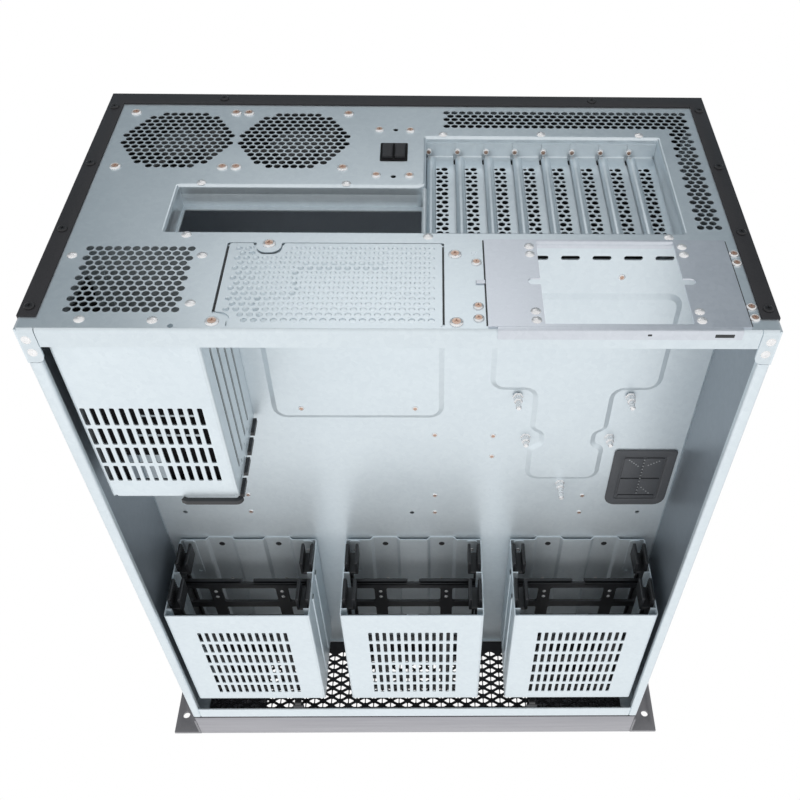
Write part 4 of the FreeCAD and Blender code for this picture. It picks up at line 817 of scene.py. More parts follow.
# Front drive cages: two raised strips along the top, shelves for the trays, ribs and hooks on the walls
STRIP, STRIP_HALF, STRIP_RISE, STRIP_SLOPE = 25.0, 10.5, 3.0, 2.2
PLUG_NEAR, DOT_NEAR = 9.0, 62.0
SHELF_DROP, SHELF_REACH = 0.8, 5.5
RIB_FEET, RIB_TALL, RIB_X, RIB_NEAR, RIB_FAR, RIB_SOFT = (22.0, 47.0), 6.0, (0.4, -0.9), 8.0, 12.0, 0.6
HOOK = [(3, 0.5), (13, 0.5), (13, 48), (6, 48)]
HOOK_ROUNDS, HOOK_SHEET = [3, 2.4, 1.6, 1.6], 0.9
HOOK_HOLE, HOOK_HOLE_SPOT, HOOK_DOT_SPOT = 1.5, (9.6, 44), (8, 13)


def front_cage(side):
    node = f"drive_cage_{side}"
    (low_x, high_x), (near, far), (foot, top) = reach(node)
    middle, half, inset, plain = (low_x + high_x) / 2, THIN / 2, THIN / 2 + BEND, top - STRIP_RISE
    shape, plugs, dots = Shape(), Shape(), Shape()
    bottom = rounded((low_x + inset, high_x - inset), (near, far), CAGE_ROUND, 2)
    slots = bottom_slots(middle, near + FRONT_SLOT_NEAR, *FRONT_SLOTS)
    plate(shape, bottom, slots, (foot, foot + THIN), facing_down)
    line = [(low_x + inset, foot + half), (low_x + half, foot + half), (low_x + half, plain - half)]
    for centre in about(middle, STRIP):
        (outer_low, outer_high), (inner_low, inner_high) = (about(centre, STRIP_HALF + STRIP_SLOPE),
                                                            about(centre, STRIP_HALF))
        line += [(outer_low, plain - half), (inner_low, top - half), (inner_high, top - half),
                 (outer_high, plain - half)]
        rivet(plugs, under(centre, near + PLUG_NEAR, top - THIN), CAGE_PLUG)
        rivet(dots, under(centre, near + DOT_NEAR, top - THIN), CAGE_DOT)
    line += [(high_x - half, plain - half), (high_x - half, foot + half), (high_x - inset, foot + half)]
    ribbon(shape, fold(line), THIN, (near, far), facing_rear)
    level = plain - THIN
    for turn, wall in ((1, low_x), (-1, high_x)):
        for height in ("lower", "upper"):
            z = reach(f"drive_tray_{side}_{height}")[2][0] - SHELF_DROP
            shelf = fold([(wall + turn * THIN, z), (wall + turn * SHELF_REACH, z)])
            ribbon(shape, shelf, THIN, (near, far), facing_rear)
        for rib in RIB_FEET:
            block(shape, from_wall(wall, turn, RIB_X), (near + RIB_NEAR, far - RIB_FAR),
                  shifted((0, RIB_TALL), foot + rib), RIB_SOFT)
        hook = softened([(wall + turn * x, near + depth) for x, depth in HOOK], HOOK_ROUNDS)
        hole = circle(wall + turn * HOOK_HOLE_SPOT[0], near + HOOK_HOLE_SPOT[1], HOOK_HOLE)
        plate(shape, hook, [hole], (level - HOOK_SHEET, level), facing_down)
        spot = under(wall + turn * HOOK_DOT_SPOT[0], near + HOOK_DOT_SPOT[1], level - HOOK_SHEET)
        rivet(dots, spot, HOOK_DOT)
    piece(f"drive_cage_sheet_{side}", shape, "galvanised", (node,), material=SATIN_STEEL)
    piece(f"drive_cage_plugs_{side}", plugs, "black_plastic")
    piece(f"drive_cage_dots_{side}", dots, "screw_steel")


# Rear drive cage: its lip, and the slots, dots and ticks of its walls in rows
REAR_LIP, REAR_LIP_RISE, REAR_LIP_BEND, REAR_LIP_INSET = 3.0, 6.0, 2.2, 4.0
WALL_ROWS, WALL_RISE = 4, 15.0
WALL_SLOT_DEPTHS, WALL_SLOT_Z, WALL_SLOT_ROUND = (32, 138), (0, 4), 1.9
WALL_TICK_DEPTHS, WALL_TICK_Z, WALL_TICK_ROUND = (145.5, 147.5), (-3, 4), 0.9
WALL_DOT, WALL_DOT_DEPTHS, WALL_DOT_LIFT = 1.3, (30, 36, 140), 9.5
# Edge guard: a bent strip under the front edge and dashes up beside it
GUARD_THICK, GUARD_BESIDE, GUARD_BELOW, GUARD_RUN = 3.4, 0.9, 2.6, (-1.0, 2.5)
GUARD_TAIL, GUARD_TAIL_RISE, GUARD_TOP, GUARD_BEND = (39.0, 36.0), 1.5, 6.0, 3.0
DASH_COUNT, DASH_LOW, DASH_RISE, DASH_LONG = 4, 8.8, 19.7, 14.8
# Painted shade inside the rear cage: a deep black plate on two upright rails, so that the cage's slots show
# dark, with windows as (across, depth)
SHADE_GAP, SHADE_THICK, SHADE_NEAR, SHADE_FAR, SHADE_ROUND = 3.0, 2.0, 22.0, 6.0, 1.0
SHADE_LOW, SHADE_HEAD = 5.0, 8.0
SHADE_WINDOWS = [((133, 169), (77, 80.6)), ((133, 175), (94.4, 98.4)), ((163, 187), (114, 139.5))]


def rear_cage():
    (low_x, high_x), (near, far), (foot, top) = reach("rear_drive_cage")
    shape, guard, shade_plate = Shape(), Shape(), Shape()
    half, inset, end = THIN / 2, THIN / 2 + BEND, far - REAR_LIP
    bottom = rounded((low_x + inset, high_x - inset), (near, end), CAGE_ROUND, 2)
    slots = bottom_slots(REAR_SLOT_MIDDLE, REAR_SLOT_NEAR, *REAR_SLOTS)
    plate(shape, bottom, slots, (foot, foot + THIN), facing_down)
    lip = [(end - LAP, foot + half), (far - half, foot + half), (far - half, foot + REAR_LIP_RISE)]
    across = widened((low_x, high_x), -REAR_LIP_INSET)
    ribbon(shape, fold(lip, REAR_LIP_BEND), THIN, across, facing_side)
    rows = [foot + WALL_RISE * row for row in range(1, WALL_ROWS + 1)]
    holes = [rounded(WALL_SLOT_DEPTHS, shifted(WALL_SLOT_Z, z), WALL_SLOT_ROUND) for z in rows]
    holes += [circle(depth, z + WALL_DOT_LIFT, WALL_DOT) for z in rows[:-1] for depth in WALL_DOT_DEPTHS]
    holes += [rounded(WALL_TICK_DEPTHS, shifted(WALL_TICK_Z, z), WALL_TICK_ROUND, 3) for z in rows]
    side_wall = oblong((near, far), (foot + inset, top - inset))
    for low in (low_x, high_x - THIN):
        plate(shape, side_wall, holes, (low, low + THIN), facing_side)
    for edge, turn in ((low_x, 1), (high_x, -1)):
        outer, inner = edge + turn * half, edge + turn * inset
        foot_bend = fold([(inner, foot + half), (outer, foot + half), (outer, foot + inset)])
        ribbon(shape, foot_bend, THIN, (near, end), facing_rear)
        top_bend = fold([(outer, top - inset), (outer, top - half), (edge + turn * FLANGE, top - half)])
        ribbon(shape, top_bend, THIN, (near, far), facing_rear)
    piece("rear_drive_cage_sheet", shape, "galvanised", ("rear_drive_cage",), material=SATIN_STEEL)

    beside, below, run = low_x - GUARD_BESIDE, foot - GUARD_BELOW, shifted(GUARD_RUN, far)
    tail_end, tail_start = shifted(GUARD_TAIL, low_x)
    strip = [(tail_end, below + GUARD_TAIL_RISE), (tail_start, below), (beside, below), (beside, GUARD_TOP)]
    ribbon(guard, fold(strip, GUARD_BEND, 6), GUARD_THICK, run, facing_rear)
    for dash in range(DASH_COUNT):
        z = DASH_LOW + DASH_RISE * dash
        line = [Vector((beside, z)), Vector((beside, min(z + DASH_LONG, top - 1)))]
        ribbon(guard, line, GUARD_THICK, run, facing_rear)
    piece("rear_cage_edge_guard", guard, "black_plastic")

    # A deep black plate and two uprights paint the shade inside the cage, which shows through its slots
    x, along = (low_x + SHADE_GAP, high_x - SHADE_GAP), (near + SHADE_NEAR, far - SHADE_FAR)
    level = foot + SHADE_LOW + SHADE_THICK
    windows = [rounded(*window, SHADE_ROUND, 2) for window in SHADE_WINDOWS]
    plate(shade_plate, rounded(x, along, SHADE_ROUND, 2), windows, (foot + SHADE_LOW, level), facing_down)
    upright = rounded(along, (level, top - SHADE_HEAD), SHADE_ROUND, 2)
    for wall in (x[0], x[1] - SHADE_THICK):
        plate(shade_plate, upright, [], (wall, wall + SHADE_THICK), facing_side)
    piece("rear_cage_painted_shade", shade_plate, "black_plastic", material=DEEP_BLACK_AND_SHADE)


# Drive trays: a plate with windows between two rails, each with a squeeze lever at the open end
PLATE_NEAR, PLATE_THICK, PLATE_EDGE, PLATE_ROUND = 23.0, 2.4, 1.0, 1.0
BAR_EDGES, BAR_MARGIN, WINDOW_CORNER = (25.0, 33.0), 1.2, 2.0
WINDOW_ROWS, LAST_ROW_NEAR, LAST_ROW_FAR = [(7, 28), (36, 62), (70, 94)], 102.0, 6.0
END_GAP, END_RISE = 5.0, 6.0
TRAY_WALL, TRAY_WALL_Z, TRAY_WALL_SOFT = 2.6, (0.0, 22.0), 0.6
LEVER, LEVER_REACH, LEVER_Z, LEVER_SOFT = 16.0, 11.0, (5.0, 27.0), 0.7
GRIPS, GRIP_STEP, GRIP_X, GRIP_DEPTHS, GRIP_Z, GRIP_SOFT = 4, 3.0, (2.4, 3.2), (1.0, 2.2), (6.0, 26.0), 0.3
RUNNER_X, RUNNER_Z, RUNNER_NEAR, RUNNER_FAR = (2.2, 5.0), (15.0, 18.0), 8.0, 4.0
TRAY_BEAM, TRAY_DOT_ROWS = 29.0, (12.0, 20.0)


def drive_tray(side, height):
    node = f"drive_tray_{side}_{height}"
    (low_x, high_x), (tip, far), (floor_z, _) = reach(node)
    middle, half = (low_x + high_x) / 2, (high_x - low_x) / 2
    near, root = tip + PLATE_NEAR, tip + LEVER
    shape, dots = Shape(), Shape()
    inner, outer = BAR_EDGES
    bars = [(TRAY_WALL - half, -outer), (-inner, inner), (outer, half - TRAY_WALL)]
    rows = [shifted(row, near) for row in WINDOW_ROWS] + [(near + LAST_ROW_NEAR, far - LAST_ROW_FAR)]
    windows = [rounded(widened(shifted(bar, middle), -BAR_MARGIN), row, WINDOW_CORNER, 3)
               for bar in bars for row in rows]
    wide = (low_x + PLATE_EDGE, high_x - PLATE_EDGE)
    outline = rounded(wide, (near, far), PLATE_ROUND, 2)
    plate(shape, outline, windows, (floor_z, floor_z + PLATE_THICK), facing_down)
    for end in ((wide[0], middle - END_GAP), (middle + END_GAP, wide[1])):
        block(shape, end, (near, near + TRAY_WALL), (floor_z, floor_z + END_RISE), TRAY_WALL_SOFT)
    lever_z = shifted(LEVER_Z, floor_z)
    for turn, wall in ((1, low_x), (-1, high_x)):
        rail, whole = from_wall(wall, turn, (0, TRAY_WALL)), from_wall(wall, turn, (0, LEVER_REACH))
        free = from_wall(wall, turn, (LEVER_REACH - TRAY_WALL, LEVER_REACH))
        block(shape, rail, (root - TRAY_WALL, far), shifted(TRAY_WALL_Z, floor_z), TRAY_WALL_SOFT)
        for x, depth in ((rail, (tip, root)), (free, (tip, root)), (whole, (root - TRAY_WALL, root))):
            block(shape, x, depth, lever_z, LEVER_SOFT)
        for grip in range(GRIPS):
            block(shape, from_wall(wall, turn, GRIP_X), shifted(GRIP_DEPTHS, tip + GRIP_STEP * grip),
                  shifted(GRIP_Z, floor_z), GRIP_SOFT)
        block(shape, from_wall(wall, turn, RUNNER_X), (near + RUNNER_NEAR, far - RUNNER_FAR),
              shifted(RUNNER_Z, floor_z))
    piece(f"{node}_moulding", shape, "black_plastic", (node,), body=node)
    for x in about(middle, TRAY_BEAM):
        for row in TRAY_DOT_ROWS:
            rivet(dots, under(x, near + row, floor_z), TRAY_DOT)
    piece(f"{node}_screws", dots, "screw_steel", body=node)


# Front plate: two windows with their corner radius, and clips as half width, depths and heights
FRONT_WINDOW_HALF, FRONT_WINDOWS = 201.7, [((4, 85), 2), ((112.2, 252), 3)]
CLIPS, CLIP_BLOCKS, CLIP_SOFT = (-112.0, 112.0), [(5, (-5, 13), (0, 3)), (3, (-9, -4), (0.5, 6))], 0.6


def front_plate():
    shape, clips = Shape(), Shape()
    x, (near, far), (_, high) = reach("front_plate")
    half, mid = SHEET / 2, far - SHEET / 2
    low = half + BEND
    windows = [rounded(about(0, FRONT_WINDOW_HALF), z, radius) for z, radius in FRONT_WINDOWS]
    plate(shape, oblong(x, (low, high)), windows, (far - SHEET, far), facing_rear)
    ribbon(shape, fold([(mid, low), (mid, half), (near, half)]), SHEET, about(0, RIM_HALF), facing_side)
    piece("front_plate_sheet", shape, "galvanised", ("front_plate",), material=SATIN_STEEL)
    for clip in CLIPS:
        for wide, depth, z in CLIP_BLOCKS:
            block(clips, about(clip, wide), shifted(depth, near), shifted(z, SHEET), CLIP_SOFT)
    piece("front_clips", clips, "black_plastic")


# Front mesh: a triangle lattice with thin upright bars and thick slanting ones, plain along its middle
MESH_SIDE, MESH_REACH, MESH_SHIFT, MESH_ROUND = 9.6, 3.6, 0.47, 0.7
MESH_HALF, MESH_LOW, MESH_RIM, MESH_FOOT = 203.6, 3.2, 14.0, 0.2
MESH_PLAIN = (72, 100)


def front_mesh():
    shape = Shape()
    x_span, levels, (_, high) = reach("front_mesh")
    rise = MESH_SIDE * math.sin(math.radians(60))
    columns = int(2 * MESH_HALF / rise)
    steps = int((high - MESH_RIM - MESH_LOW - MESH_SIDE) / MESH_SIDE * 2) + 1
    holes = []
    for column in range(columns):
        for step in range(steps):
            z = MESH_LOW + (step + 1) * MESH_SIDE / 2
            if MESH_PLAIN[0] < z < MESH_PLAIN[1]:
                continue
            points_right = (column + step) % 2 == 0
            share, shift, start = (1 / 3, -MESH_SHIFT, 0) if points_right else (2 / 3, MESH_SHIFT, 180)
            x = -columns * rise / 2 + (column + share) * rise + shift
            turns = [math.radians(start + 120 * corner) for corner in range(3)]
            corners = [(x + MESH_REACH * math.cos(t), z + MESH_REACH * math.sin(t)) for t in turns]
            holes.append(softened(corners, MESH_ROUND, 2))
    plate(shape, oblong(x_span, (MESH_FOOT, high)), holes, levels, facing_rear)
    piece("front_mesh_sheet", shape, "black_paint", ("front_mesh",))


# Side frames: wall, rail with its lip and top flange, and a darker sheet on the wall inside, which paints
# the shade there
FRAME_LIP, FRAME_GAP = 4.5, 0.3
FACE_END, FACE_LOW, FACE_HEAD, FACE_ROUND, FACE_LEVELS = 2.0, 4.0, 1.0, 0.5, (0.3, 0.05)


def side_frames():
    mid, start = SHEET / 2, TAB_LENGTH + FRAME_GAP
    for side, turn in (("left", -1), ("right", 1)):
        node = f"side_frame_{side}"
        (low_x, high_x), (near, far), (_, top) = reach(node)
        outer = (high_x if turn > 0 else low_x) - turn * mid
        inner = (low_x if turn > 0 else high_x) + turn * mid
        shape, face = Shape(), Shape()
        line = [(inner, top - mid), (outer, top - mid), (outer, mid), (inner, mid), (inner, FRAME_LIP)]
        ribbon(shape, fold(line), SHEET, (start, far - SHEET), facing_rear)
        plate(shape, oblong((near, start), (LAP, top - LAP)), [], about(outer, mid), facing_side)
        piece(f"{node}_sheet", shape, "galvanised", (node,), material=SATIN_STEEL)
        # A darker sheet just inside the wall, from the rail up to the tray, paints the shade that falls
        # there
        level = outer - turn * mid
        plate(face, rounded((start, far - FACE_END), (FACE_LOW, TRAY_Z - FACE_HEAD), FACE_ROUND, 2), [],
              [level - turn * gap for gap in FACE_LEVELS], facing_side)
        piece(f"{node}_inner_face", face, "galvanised", material=SIDE_WALL_SHADE)


# Blank plate: its field of holes, and how far its pressed face and ring lie inside the window
BLANK_SIDE, BLANK_END, BLANK_HOLE, BLANK_CLEAR, BLANK_ROUND = 6.5, 5.5, 2.05, 11.0, 1.0
BLANK_FACE, BLANK_RING, BLANK_DEPTH = (1.5, 0.3, 1.6), (3.0, 1.4, 3.0), 0.3
# Adapter plate: opening with notches, brow, lip and tag
ADAPTER_OPENING, ADAPTER_SILL, ADAPTER_HEAD, ADAPTER_FOOT = 42.5, 4.0, 1.6, 1.6
NOTCH_Z, NOTCH_HALF, NOTCH_REACH = 44.3, 3.0, 7.4
BROW_START, BROW_DROP, BROW_REACH, BROW_BEND = 0.5, 2.6, 3.2, 1.8
LIP_Z, LIP_THICK, LIP_START, LIP_REACH, LIP_INSET, LIP_BEND = -0.45, 0.8, 2.0, 5.2, 5.2, 0.6
TAG_X, TAG_DEPTHS, TAG_Z, TAG_SOFT = (0.3, 6.0), (-1.2, 0.2), (-2.0, 1.2), 0.4
ADAPTER_RIVETS = [(side * 47.1, z) for side in (-1, 1) for z in (8.6, 16.5, 70.9, 78.8)]
# Painted shade: dark blocks in the lip's slots, dark lines along the adapter's sides and dark strips in the
# grooves along the blank plate's
LIP_SLOTS, LIP_SLOT_NEAR, LIP_SLOT_DEEP = [((10, 21), 3.6), ((57, 59.4), 2.6)], 1.2, 0.6
LINE_GAPS, LINE_WIDE, LINE_DEPTHS, LINE_FOOT = (-1.0, 0.1), 0.9, (-0.4, 0.2), 3.0
GROOVES, GROOVE_WIDE = [(WINDOW_X[1] - 1.3, 18), (WINDOW_X[0] + 0.2, 7)], 1.1
GROOVE_DEPTHS, GROOVE_TOP, SHADOW_SOFT = (0.5, 1.25), 80.0, 0.2


def adapter_opening(middle, low, high):
    """The adapter plate's opening, with a round-ended notch in each side."""
    wall, centre = ADAPTER_OPENING, ADAPTER_OPENING + NOTCH_REACH - NOTCH_HALF
    right = [(wall, low), (wall, NOTCH_Z - NOTCH_HALF)]
    right += [(centre + NOTCH_HALF * math.sin(t), NOTCH_Z - NOTCH_HALF * math.cos(t))
              for t in half_turn(6)]
    right += [(wall, NOTCH_Z + NOTCH_HALF), (wall, high)]
    return [(middle + x, z) for x, z in right] + [(middle - x, z) for x, z in reversed(right)]


def power_places():
    blank, adapter, heads, rivets, painted_shadows = (Shape() for _ in range(5))
    x, levels, z = reach("psu_blank_plate")
    holes = field(widened(WINDOW_X, -BLANK_SIDE), widened(WINDOW_Z, -BLANK_END), radius=BLANK_HOLE)
    clear = [hole for hole in holes
             if all(math.dist(hole[0], spot) > BLANK_CLEAR for spot in SUPPLY_SCREWS)]
    plate(blank, supply_window(*BLANK_FACE), clear, (BLANK_DEPTH, levels[0] + LAP), facing_rear)
    plate(blank, rounded(x, z, BLANK_ROUND), [supply_window(*BLANK_RING)], levels, facing_rear)
    piece("psu_blank_sheet", blank, "galvanised", ("psu_blank_plate",))

    (low_x, high_x), (low_z, high_z) = ADAPTER_X, ADAPTER_Z
    middle, half = middle_of(ADAPTER_X), THIN / 2
    opening = adapter_opening(middle, low_z + ADAPTER_SILL, high_z - ADAPTER_HEAD)
    plate(adapter, oblong(ADAPTER_X, (low_z + ADAPTER_FOOT, high_z)), [opening], (-THIN, 0), facing_rear)
    under_brow = high_z - BROW_DROP
    brow = fold([(-half, high_z - BROW_START), (-half, under_brow), (BROW_REACH, under_brow)], BROW_BEND)
    ribbon(adapter, brow, THIN, about(middle, ADAPTER_OPENING), facing_side)
    lip = fold([(-half, low_z + LIP_START), (-half, LIP_Z), (LIP_REACH, LIP_Z)], LIP_BEND)
    ribbon(adapter, lip, LIP_THICK, widened(ADAPTER_X, -LIP_INSET), facing_side)
    block(adapter, shifted(TAG_X, high_x), TAG_DEPTHS, shifted(TAG_Z, NOTCH_Z), TAG_SOFT)
    piece("psu_adapter_sheet", adapter, "galvanised", ("psu_adapter_plate",), material=ADAPTER_STEEL)

    for x, z in SUPPLY_SCREWS:
        screw(heads, CORES, on_rear(x, z), SUPPLY_SCREW)
    piece("psu_screw_heads", heads, "screw_steel", ("psu_screws",))
    for x, z in ADAPTER_RIVETS:
        rivet(rivets, on_rear(middle + x, z, -THIN), ADAPTER_RIVET)
    piece("adapter_rivet_heads", rivets, "screw_steel", ("adapter_rivets",))
    # Painted shade: dark blocks under the lip's slots, dark lines beside the adapter's sides and dark
    # strips in the blank plate's grooves
    for x, far in LIP_SLOTS:
        block(painted_shadows, shifted(x, low_x), (LIP_SLOT_NEAR, far), (LIP_Z - LIP_SLOT_DEEP, LIP_Z), SHADOW_SOFT)
    for edge, gap in zip(ADAPTER_X, LINE_GAPS):
        low = edge + gap
        block(painted_shadows, (low, low + LINE_WIDE), LINE_DEPTHS, (low_z + LINE_FOOT, high_z), SHADOW_SOFT)
    for edge, foot in GROOVES:
        block(painted_shadows, (edge, edge + GROOVE_WIDE), GROOVE_DEPTHS, (foot, GROOVE_TOP), SHADOW_SOFT)
    piece("adapter_painted_shadows", painted_shadows, "black_plastic")


# Screws of the fans and of the cover
FAN_HOLE = 35.75
COVER_SIDE_SCREW, COVER_SIDE_HEIGHTS = 211.5, [19 + step * 75.4 for step in range(4)]
COVER_TOP_SCREW, COVER_TOP_HEIGHT = 134.5, 258.0


def fasteners():
    fan_heads, cover_heads = Shape(), Shape()
    for x, z in FANS:
        for a in about(x, FAN_HOLE):
            for b in about(z, FAN_HOLE):
                screw(fan_heads, CORES, on_rear(a, b), FAN_SCREW)
    piece("fan_screw_heads", fan_heads, "screw_steel", ("fan_screws",))
    spots = [(x, z) for x in about(0, COVER_SIDE_SCREW) for z in COVER_SIDE_HEIGHTS]
    for x, z in spots + [(x, COVER_TOP_HEIGHT) for x in about(0, COVER_TOP_SCREW)]:
        screw(cover_heads, cover_heads, on_rear(x, z, -THIN))
    piece("cover_screw_heads", cover_heads, "black_screw", ("cover_screws",))
    piece("screw_recesses", CORES, "screw_steel", material=COPPER_ZINC)


# Switch: two caps in the pockets of a housing, whose flange lies on the panel
CAP_SIDE, CAP_END, CAP_SOFT = 0.1, 0.8, 0.8
POCKET_GAP, POCKET_ROUND, POCKET_BACK = 0.2, 0.9, 4.0
FLANGE_OVER, FLANGE_ROUND, FLANGE_THICK, BODY_ROUND = 0.5, 1.0, 0.6, 0.5


def switch():
    housing, pockets = Shape(), []
    for node in ("power_button", "reset_button"):
        x, depth, z = reach(node)
        wide, tall = widened(x, CAP_SIDE), widened(z, CAP_END)
        pockets.append(rounded(widened(wide, POCKET_GAP), widened(tall, POCKET_GAP), POCKET_ROUND, 2))
        cap = Shape()
        block(cap, wide, depth, tall, CAP_SOFT)
        piece(f"{node}_cap", cap, "button_plastic", (node,), body=node)
    _, (_, back), _ = reach("switch_housing")
    flange = rounded(widened(SWITCH_X, FLANGE_OVER), widened(SWITCH_Z, FLANGE_OVER), FLANGE_ROUND)
    body = rounded(widened(SWITCH_X, -LAP), widened(SWITCH_Z, -LAP), BODY_ROUND)
    floor_depth = back - POCKET_BACK
    plate(housing, flange, pockets, (-FLANGE_THICK, 0.0), facing_rear)
    plate(housing, body, pockets, (0.0, floor_depth), facing_rear)
    plate(housing, body, [], (floor_depth, back), facing_rear)
    piece("switch_housing_moulding", housing, "black_plastic", ("switch_housing",), material=DEEP_BLACK_AND_SHADE)


# Cover, bezel, ears and fans: the nodes' own forms with softened edges
INNER_X, INNER_DEPTHS, INNER_Z, INNER_ROUND = (-11, 200), (60, 466), (261.6, 262.2), 2.0
COVER_SOFT, BEZEL_SOFT, EAR_SOFT, FAN_SOFT, ROTOR_SOFT = 0.3, 0.8, 0.5, 0.6, 0.3


def cover_and_front():
    bevelled("outer_cover_sheet", "outer_cover", "black_paint", COVER_SOFT)
    # A pale sheet under the cover: partly its unpainted inner face, partly painted light for what shows
    # through the rear panel's openings
    inner = Shape()
    plate(inner, rounded(INNER_X, INNER_DEPTHS, INNER_ROUND), [], INNER_Z, facing_down)
    piece("cover_liner_painted_light", inner, "black_paint", material=LINER_PAINTED_LIGHT)
    bevelled("front_bezel_shell", "front_bezel", "grey_paint", BEZEL_SOFT)
    for side in ("left", "right"):
        bevelled(f"rack_ear_{side}_plate", f"rack_ear_{side}", "ear_paint", EAR_SOFT)


def fans():
    for count in (1, 2):
        rotor = f"fan_rotor_{count}"
        bevelled(f"fan_frame_{count}_moulding", f"fan_frame_{count}", "black_plastic", FAN_SOFT)
        bevelled(f"{rotor}_moulding", rotor, "black_plastic", ROTOR_SOFT, body=rotor)


rear_panel()
slot_pan()
slot_covers()
mid_tray()
spacers()
grommet()
for cage in ("left", "middle", "right"):
    front_cage(cage)
    for height_name in ("lower", "upper"):
        drive_tray(cage, height_name)
rear_cage()
front_plate()
front_mesh()
side_frames()
power_places()
fasteners()
switch()
cover_and_front()
fans()

# Stage, light and camera, in metres
FLOOR_HALF, FLOOR_Z, FLOOR_ROUGH, FLOOR_GRAIN = 6.0, -0.0005, 0.8, 40.0
FLOOR_DARK, FLOOR_LIGHT = (0.80, 0.80, 0.80), (0.86, 0.86, 0.86)
CEILING_HALF, CEILING_DEPTHS, CEILING_HEIGHT, CEILING_GREY = 2.2, (0.2, 2.4), 1.5, (0.225, 0.27, 0.30)
PANEL_SPOT, PANEL_REACH, PANEL_EDGE, PANEL_GLOW = (0.08, 1.57, 0.0), (0.80, 0.46, 1.0), (0.05, 0.4), 1.85
AMBIENT = 0.42
# Name, place, target, side and watts
LAMPS = [("soft_below", (0.1, 0.1, -1.6), (0, 0, 0.1), 2.8, 38),
         ("soft_above", (0.4, -0.6, 2.0), (0, 0, 0.1), 2.0, 30),
         ("soft_front", (0.0, -1.6, 0.25), (0, 0, 0.15), 1.2, 14)]
LENS, SENSOR, SHIFT, NEAREST = 40.91, 36.0, (-0.0633, 0.172), 0.01
EYE = (-0.0198, 0.5875, -0.4035)
EYE_RIGHT, EYE_UP = (-0.99987, 0.01255, -0.01023), (-0.00044, 0.61065, 0.79190)


def level_card(name, x, y, z, material):
    """A level rectangle with a material."""
    mesh = bpy.data.meshes.new(name)
    mesh.from_pydata([(a, b, 0) for a, b in oblong(x, y)], [], [(0, 1, 2, 3)])
    mesh.materials.append(material)
    made = bpy.data.objects.new(name, mesh)
    made.location.z = z
    bpy.context.scene.collection.objects.link(made)
    return made


def floor():
    """A pale floor that shows from above only, since the view is from below."""
    made, nodes, links = new_material("pale_floor")
    shader = nodes["Principled BSDF"]
    shader.inputs["Roughness"].default_value = FLOOR_ROUGH
    speck = nodes.new("ShaderNodeTexNoise")
    speck.inputs["Scale"].default_value = FLOOR_GRAIN
    ramp = ramp_between(nodes, FLOOR_DARK, FLOOR_LIGHT)
    links.new(speck.outputs["Fac"], ramp.inputs["Fac"])
    links.new(ramp.outputs["Color"], shader.inputs["Base Color"])
    mix = nodes.new("ShaderNodeMixShader")
    links.new(nodes.new("ShaderNodeNewGeometry").outputs["Backfacing"], mix.inputs["Fac"])
    links.new(shader.outputs["BSDF"], mix.inputs[1])
    links.new(nodes.new("ShaderNodeBsdfTransparent").outputs["BSDF"], mix.inputs[2])
    links.new(mix.outputs["Shader"], nodes["Material Output"].inputs["Surface"])
    ground = level_card("floor", about(0, FLOOR_HALF), about(0, FLOOR_HALF), FLOOR_Z, made)
    ground.visible_shadow = False
    ground.visible_diffuse = False
    ground.visible_glossy = False


def world():
    """White to the eye and in reflections, and a plain level of light elsewhere."""
    made = bpy.data.worlds.new("studio")
    bpy.context.scene.world = made
    made.use_nodes = True
    nodes, links = made.node_tree.nodes, made.node_tree.links
    back = nodes["Background"]
    back.inputs["Color"].default_value = (1, 1, 1, 1)
    path = nodes.new("ShaderNodeLightPath")
    seen = path.outputs["Is Camera Ray"]
    for name in ("Is Glossy Ray", "Is Transmission Ray"):
        most = nodes.new("ShaderNodeMath")
        most.operation = "MAXIMUM"
        links.new(seen, most.inputs[0])
        links.new(path.outputs[name], most.inputs[1])
        seen = most.outputs[0]
    level = nodes.new("ShaderNodeMapRange")
    level.inputs["To Min"].default_value = AMBIENT
    level.inputs["To Max"].default_value = 1.0
    links.new(seen, level.inputs["Value"])
    links.new(level.outputs["Result"], back.inputs["Strength"])


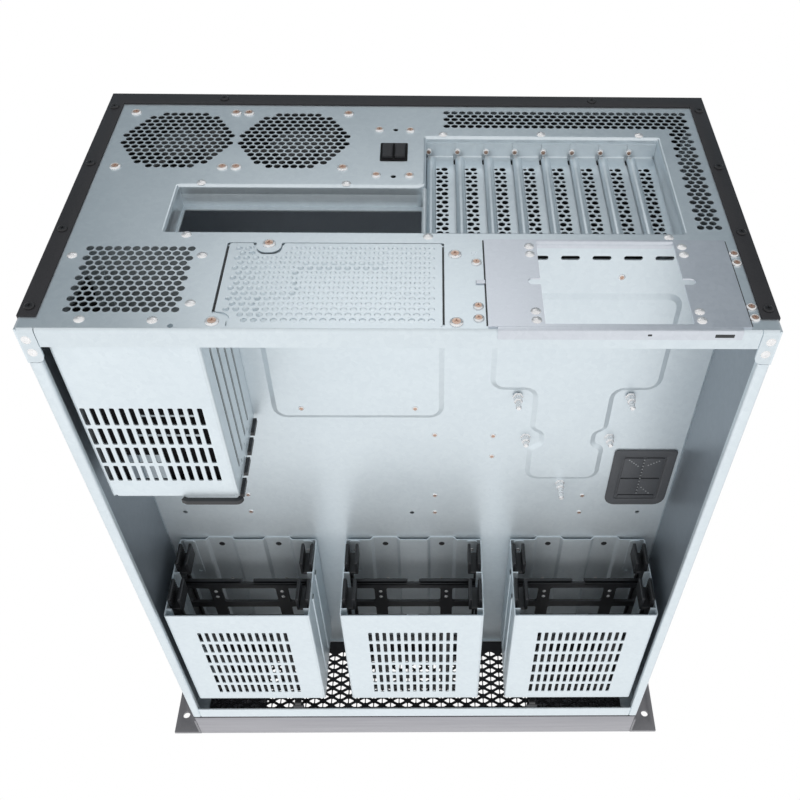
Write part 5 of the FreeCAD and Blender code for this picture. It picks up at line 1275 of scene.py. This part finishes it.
def ceiling():
    """A grey ceiling behind the case with one bright panel, which the upright sheets mirror."""
    made, nodes, links = new_material("grey_ceiling")
    nodes.remove(nodes["Principled BSDF"])
    fit = nodes.new("ShaderNodeMapping")
    fit.vector_type = "TEXTURE"
    fit.inputs["Location"].default_value = PANEL_SPOT
    fit.inputs["Scale"].default_value = PANEL_REACH
    ball = nodes.new("ShaderNodeTexGradient")
    ball.gradient_type = "SPHERICAL"
    ramp = ramp_between(nodes, [tone / PANEL_GLOW for tone in CEILING_GREY], (1, 1, 1), *PANEL_EDGE)
    glow = nodes.new("ShaderNodeEmission")
    glow.inputs["Strength"].default_value = PANEL_GLOW
    links.new(nodes.new("ShaderNodeTexCoord").outputs["Object"], fit.inputs["Vector"])
    links.new(fit.outputs["Vector"], ball.inputs["Vector"])
    links.new(ball.outputs["Fac"], ramp.inputs["Fac"])
    links.new(ramp.outputs["Color"], glow.inputs["Color"])
    links.new(glow.outputs["Emission"], nodes["Material Output"].inputs["Surface"])
    card = level_card("ceiling", about(0, CEILING_HALF), CEILING_DEPTHS, CEILING_HEIGHT, made)
    card.visible_camera = False
    card.visible_diffuse = False
    card.visible_shadow = False


def lamp(name, place, target, size, power):
    """A soft area lamp."""
    data = bpy.data.lights.new(name, "AREA")
    data.shape = "SQUARE"
    data.size = size
    data.energy = power
    thing = bpy.data.objects.new(name, data)
    thing.location = place
    thing.rotation_euler = (Vector(target) - Vector(place)).to_track_quat("-Z", "Y").to_euler()
    thing.visible_camera = False
    thing.visible_glossy = False
    bpy.context.scene.collection.objects.link(thing)


def camera():
    """The photograph's view: from behind and below."""
    data = bpy.data.cameras.new("camera")
    data.sensor_width = SENSOR
    data.lens = LENS
    data.shift_x, data.shift_y = SHIFT
    data.clip_start = NEAREST
    eye = bpy.data.objects.new("camera", data)
    right, up = Vector(EYE_RIGHT), Vector(EYE_UP)
    turn = Matrix((right, up, right.cross(up))).transposed().to_4x4()
    eye.matrix_world = Matrix.Translation(EYE) @ turn
    bpy.context.scene.collection.objects.link(eye)
    bpy.context.scene.camera = eye


floor()
world()
ceiling()
for settings in LAMPS:
    lamp(*settings)
camera()
bpy.context.scene.view_settings.view_transform = "Standard"
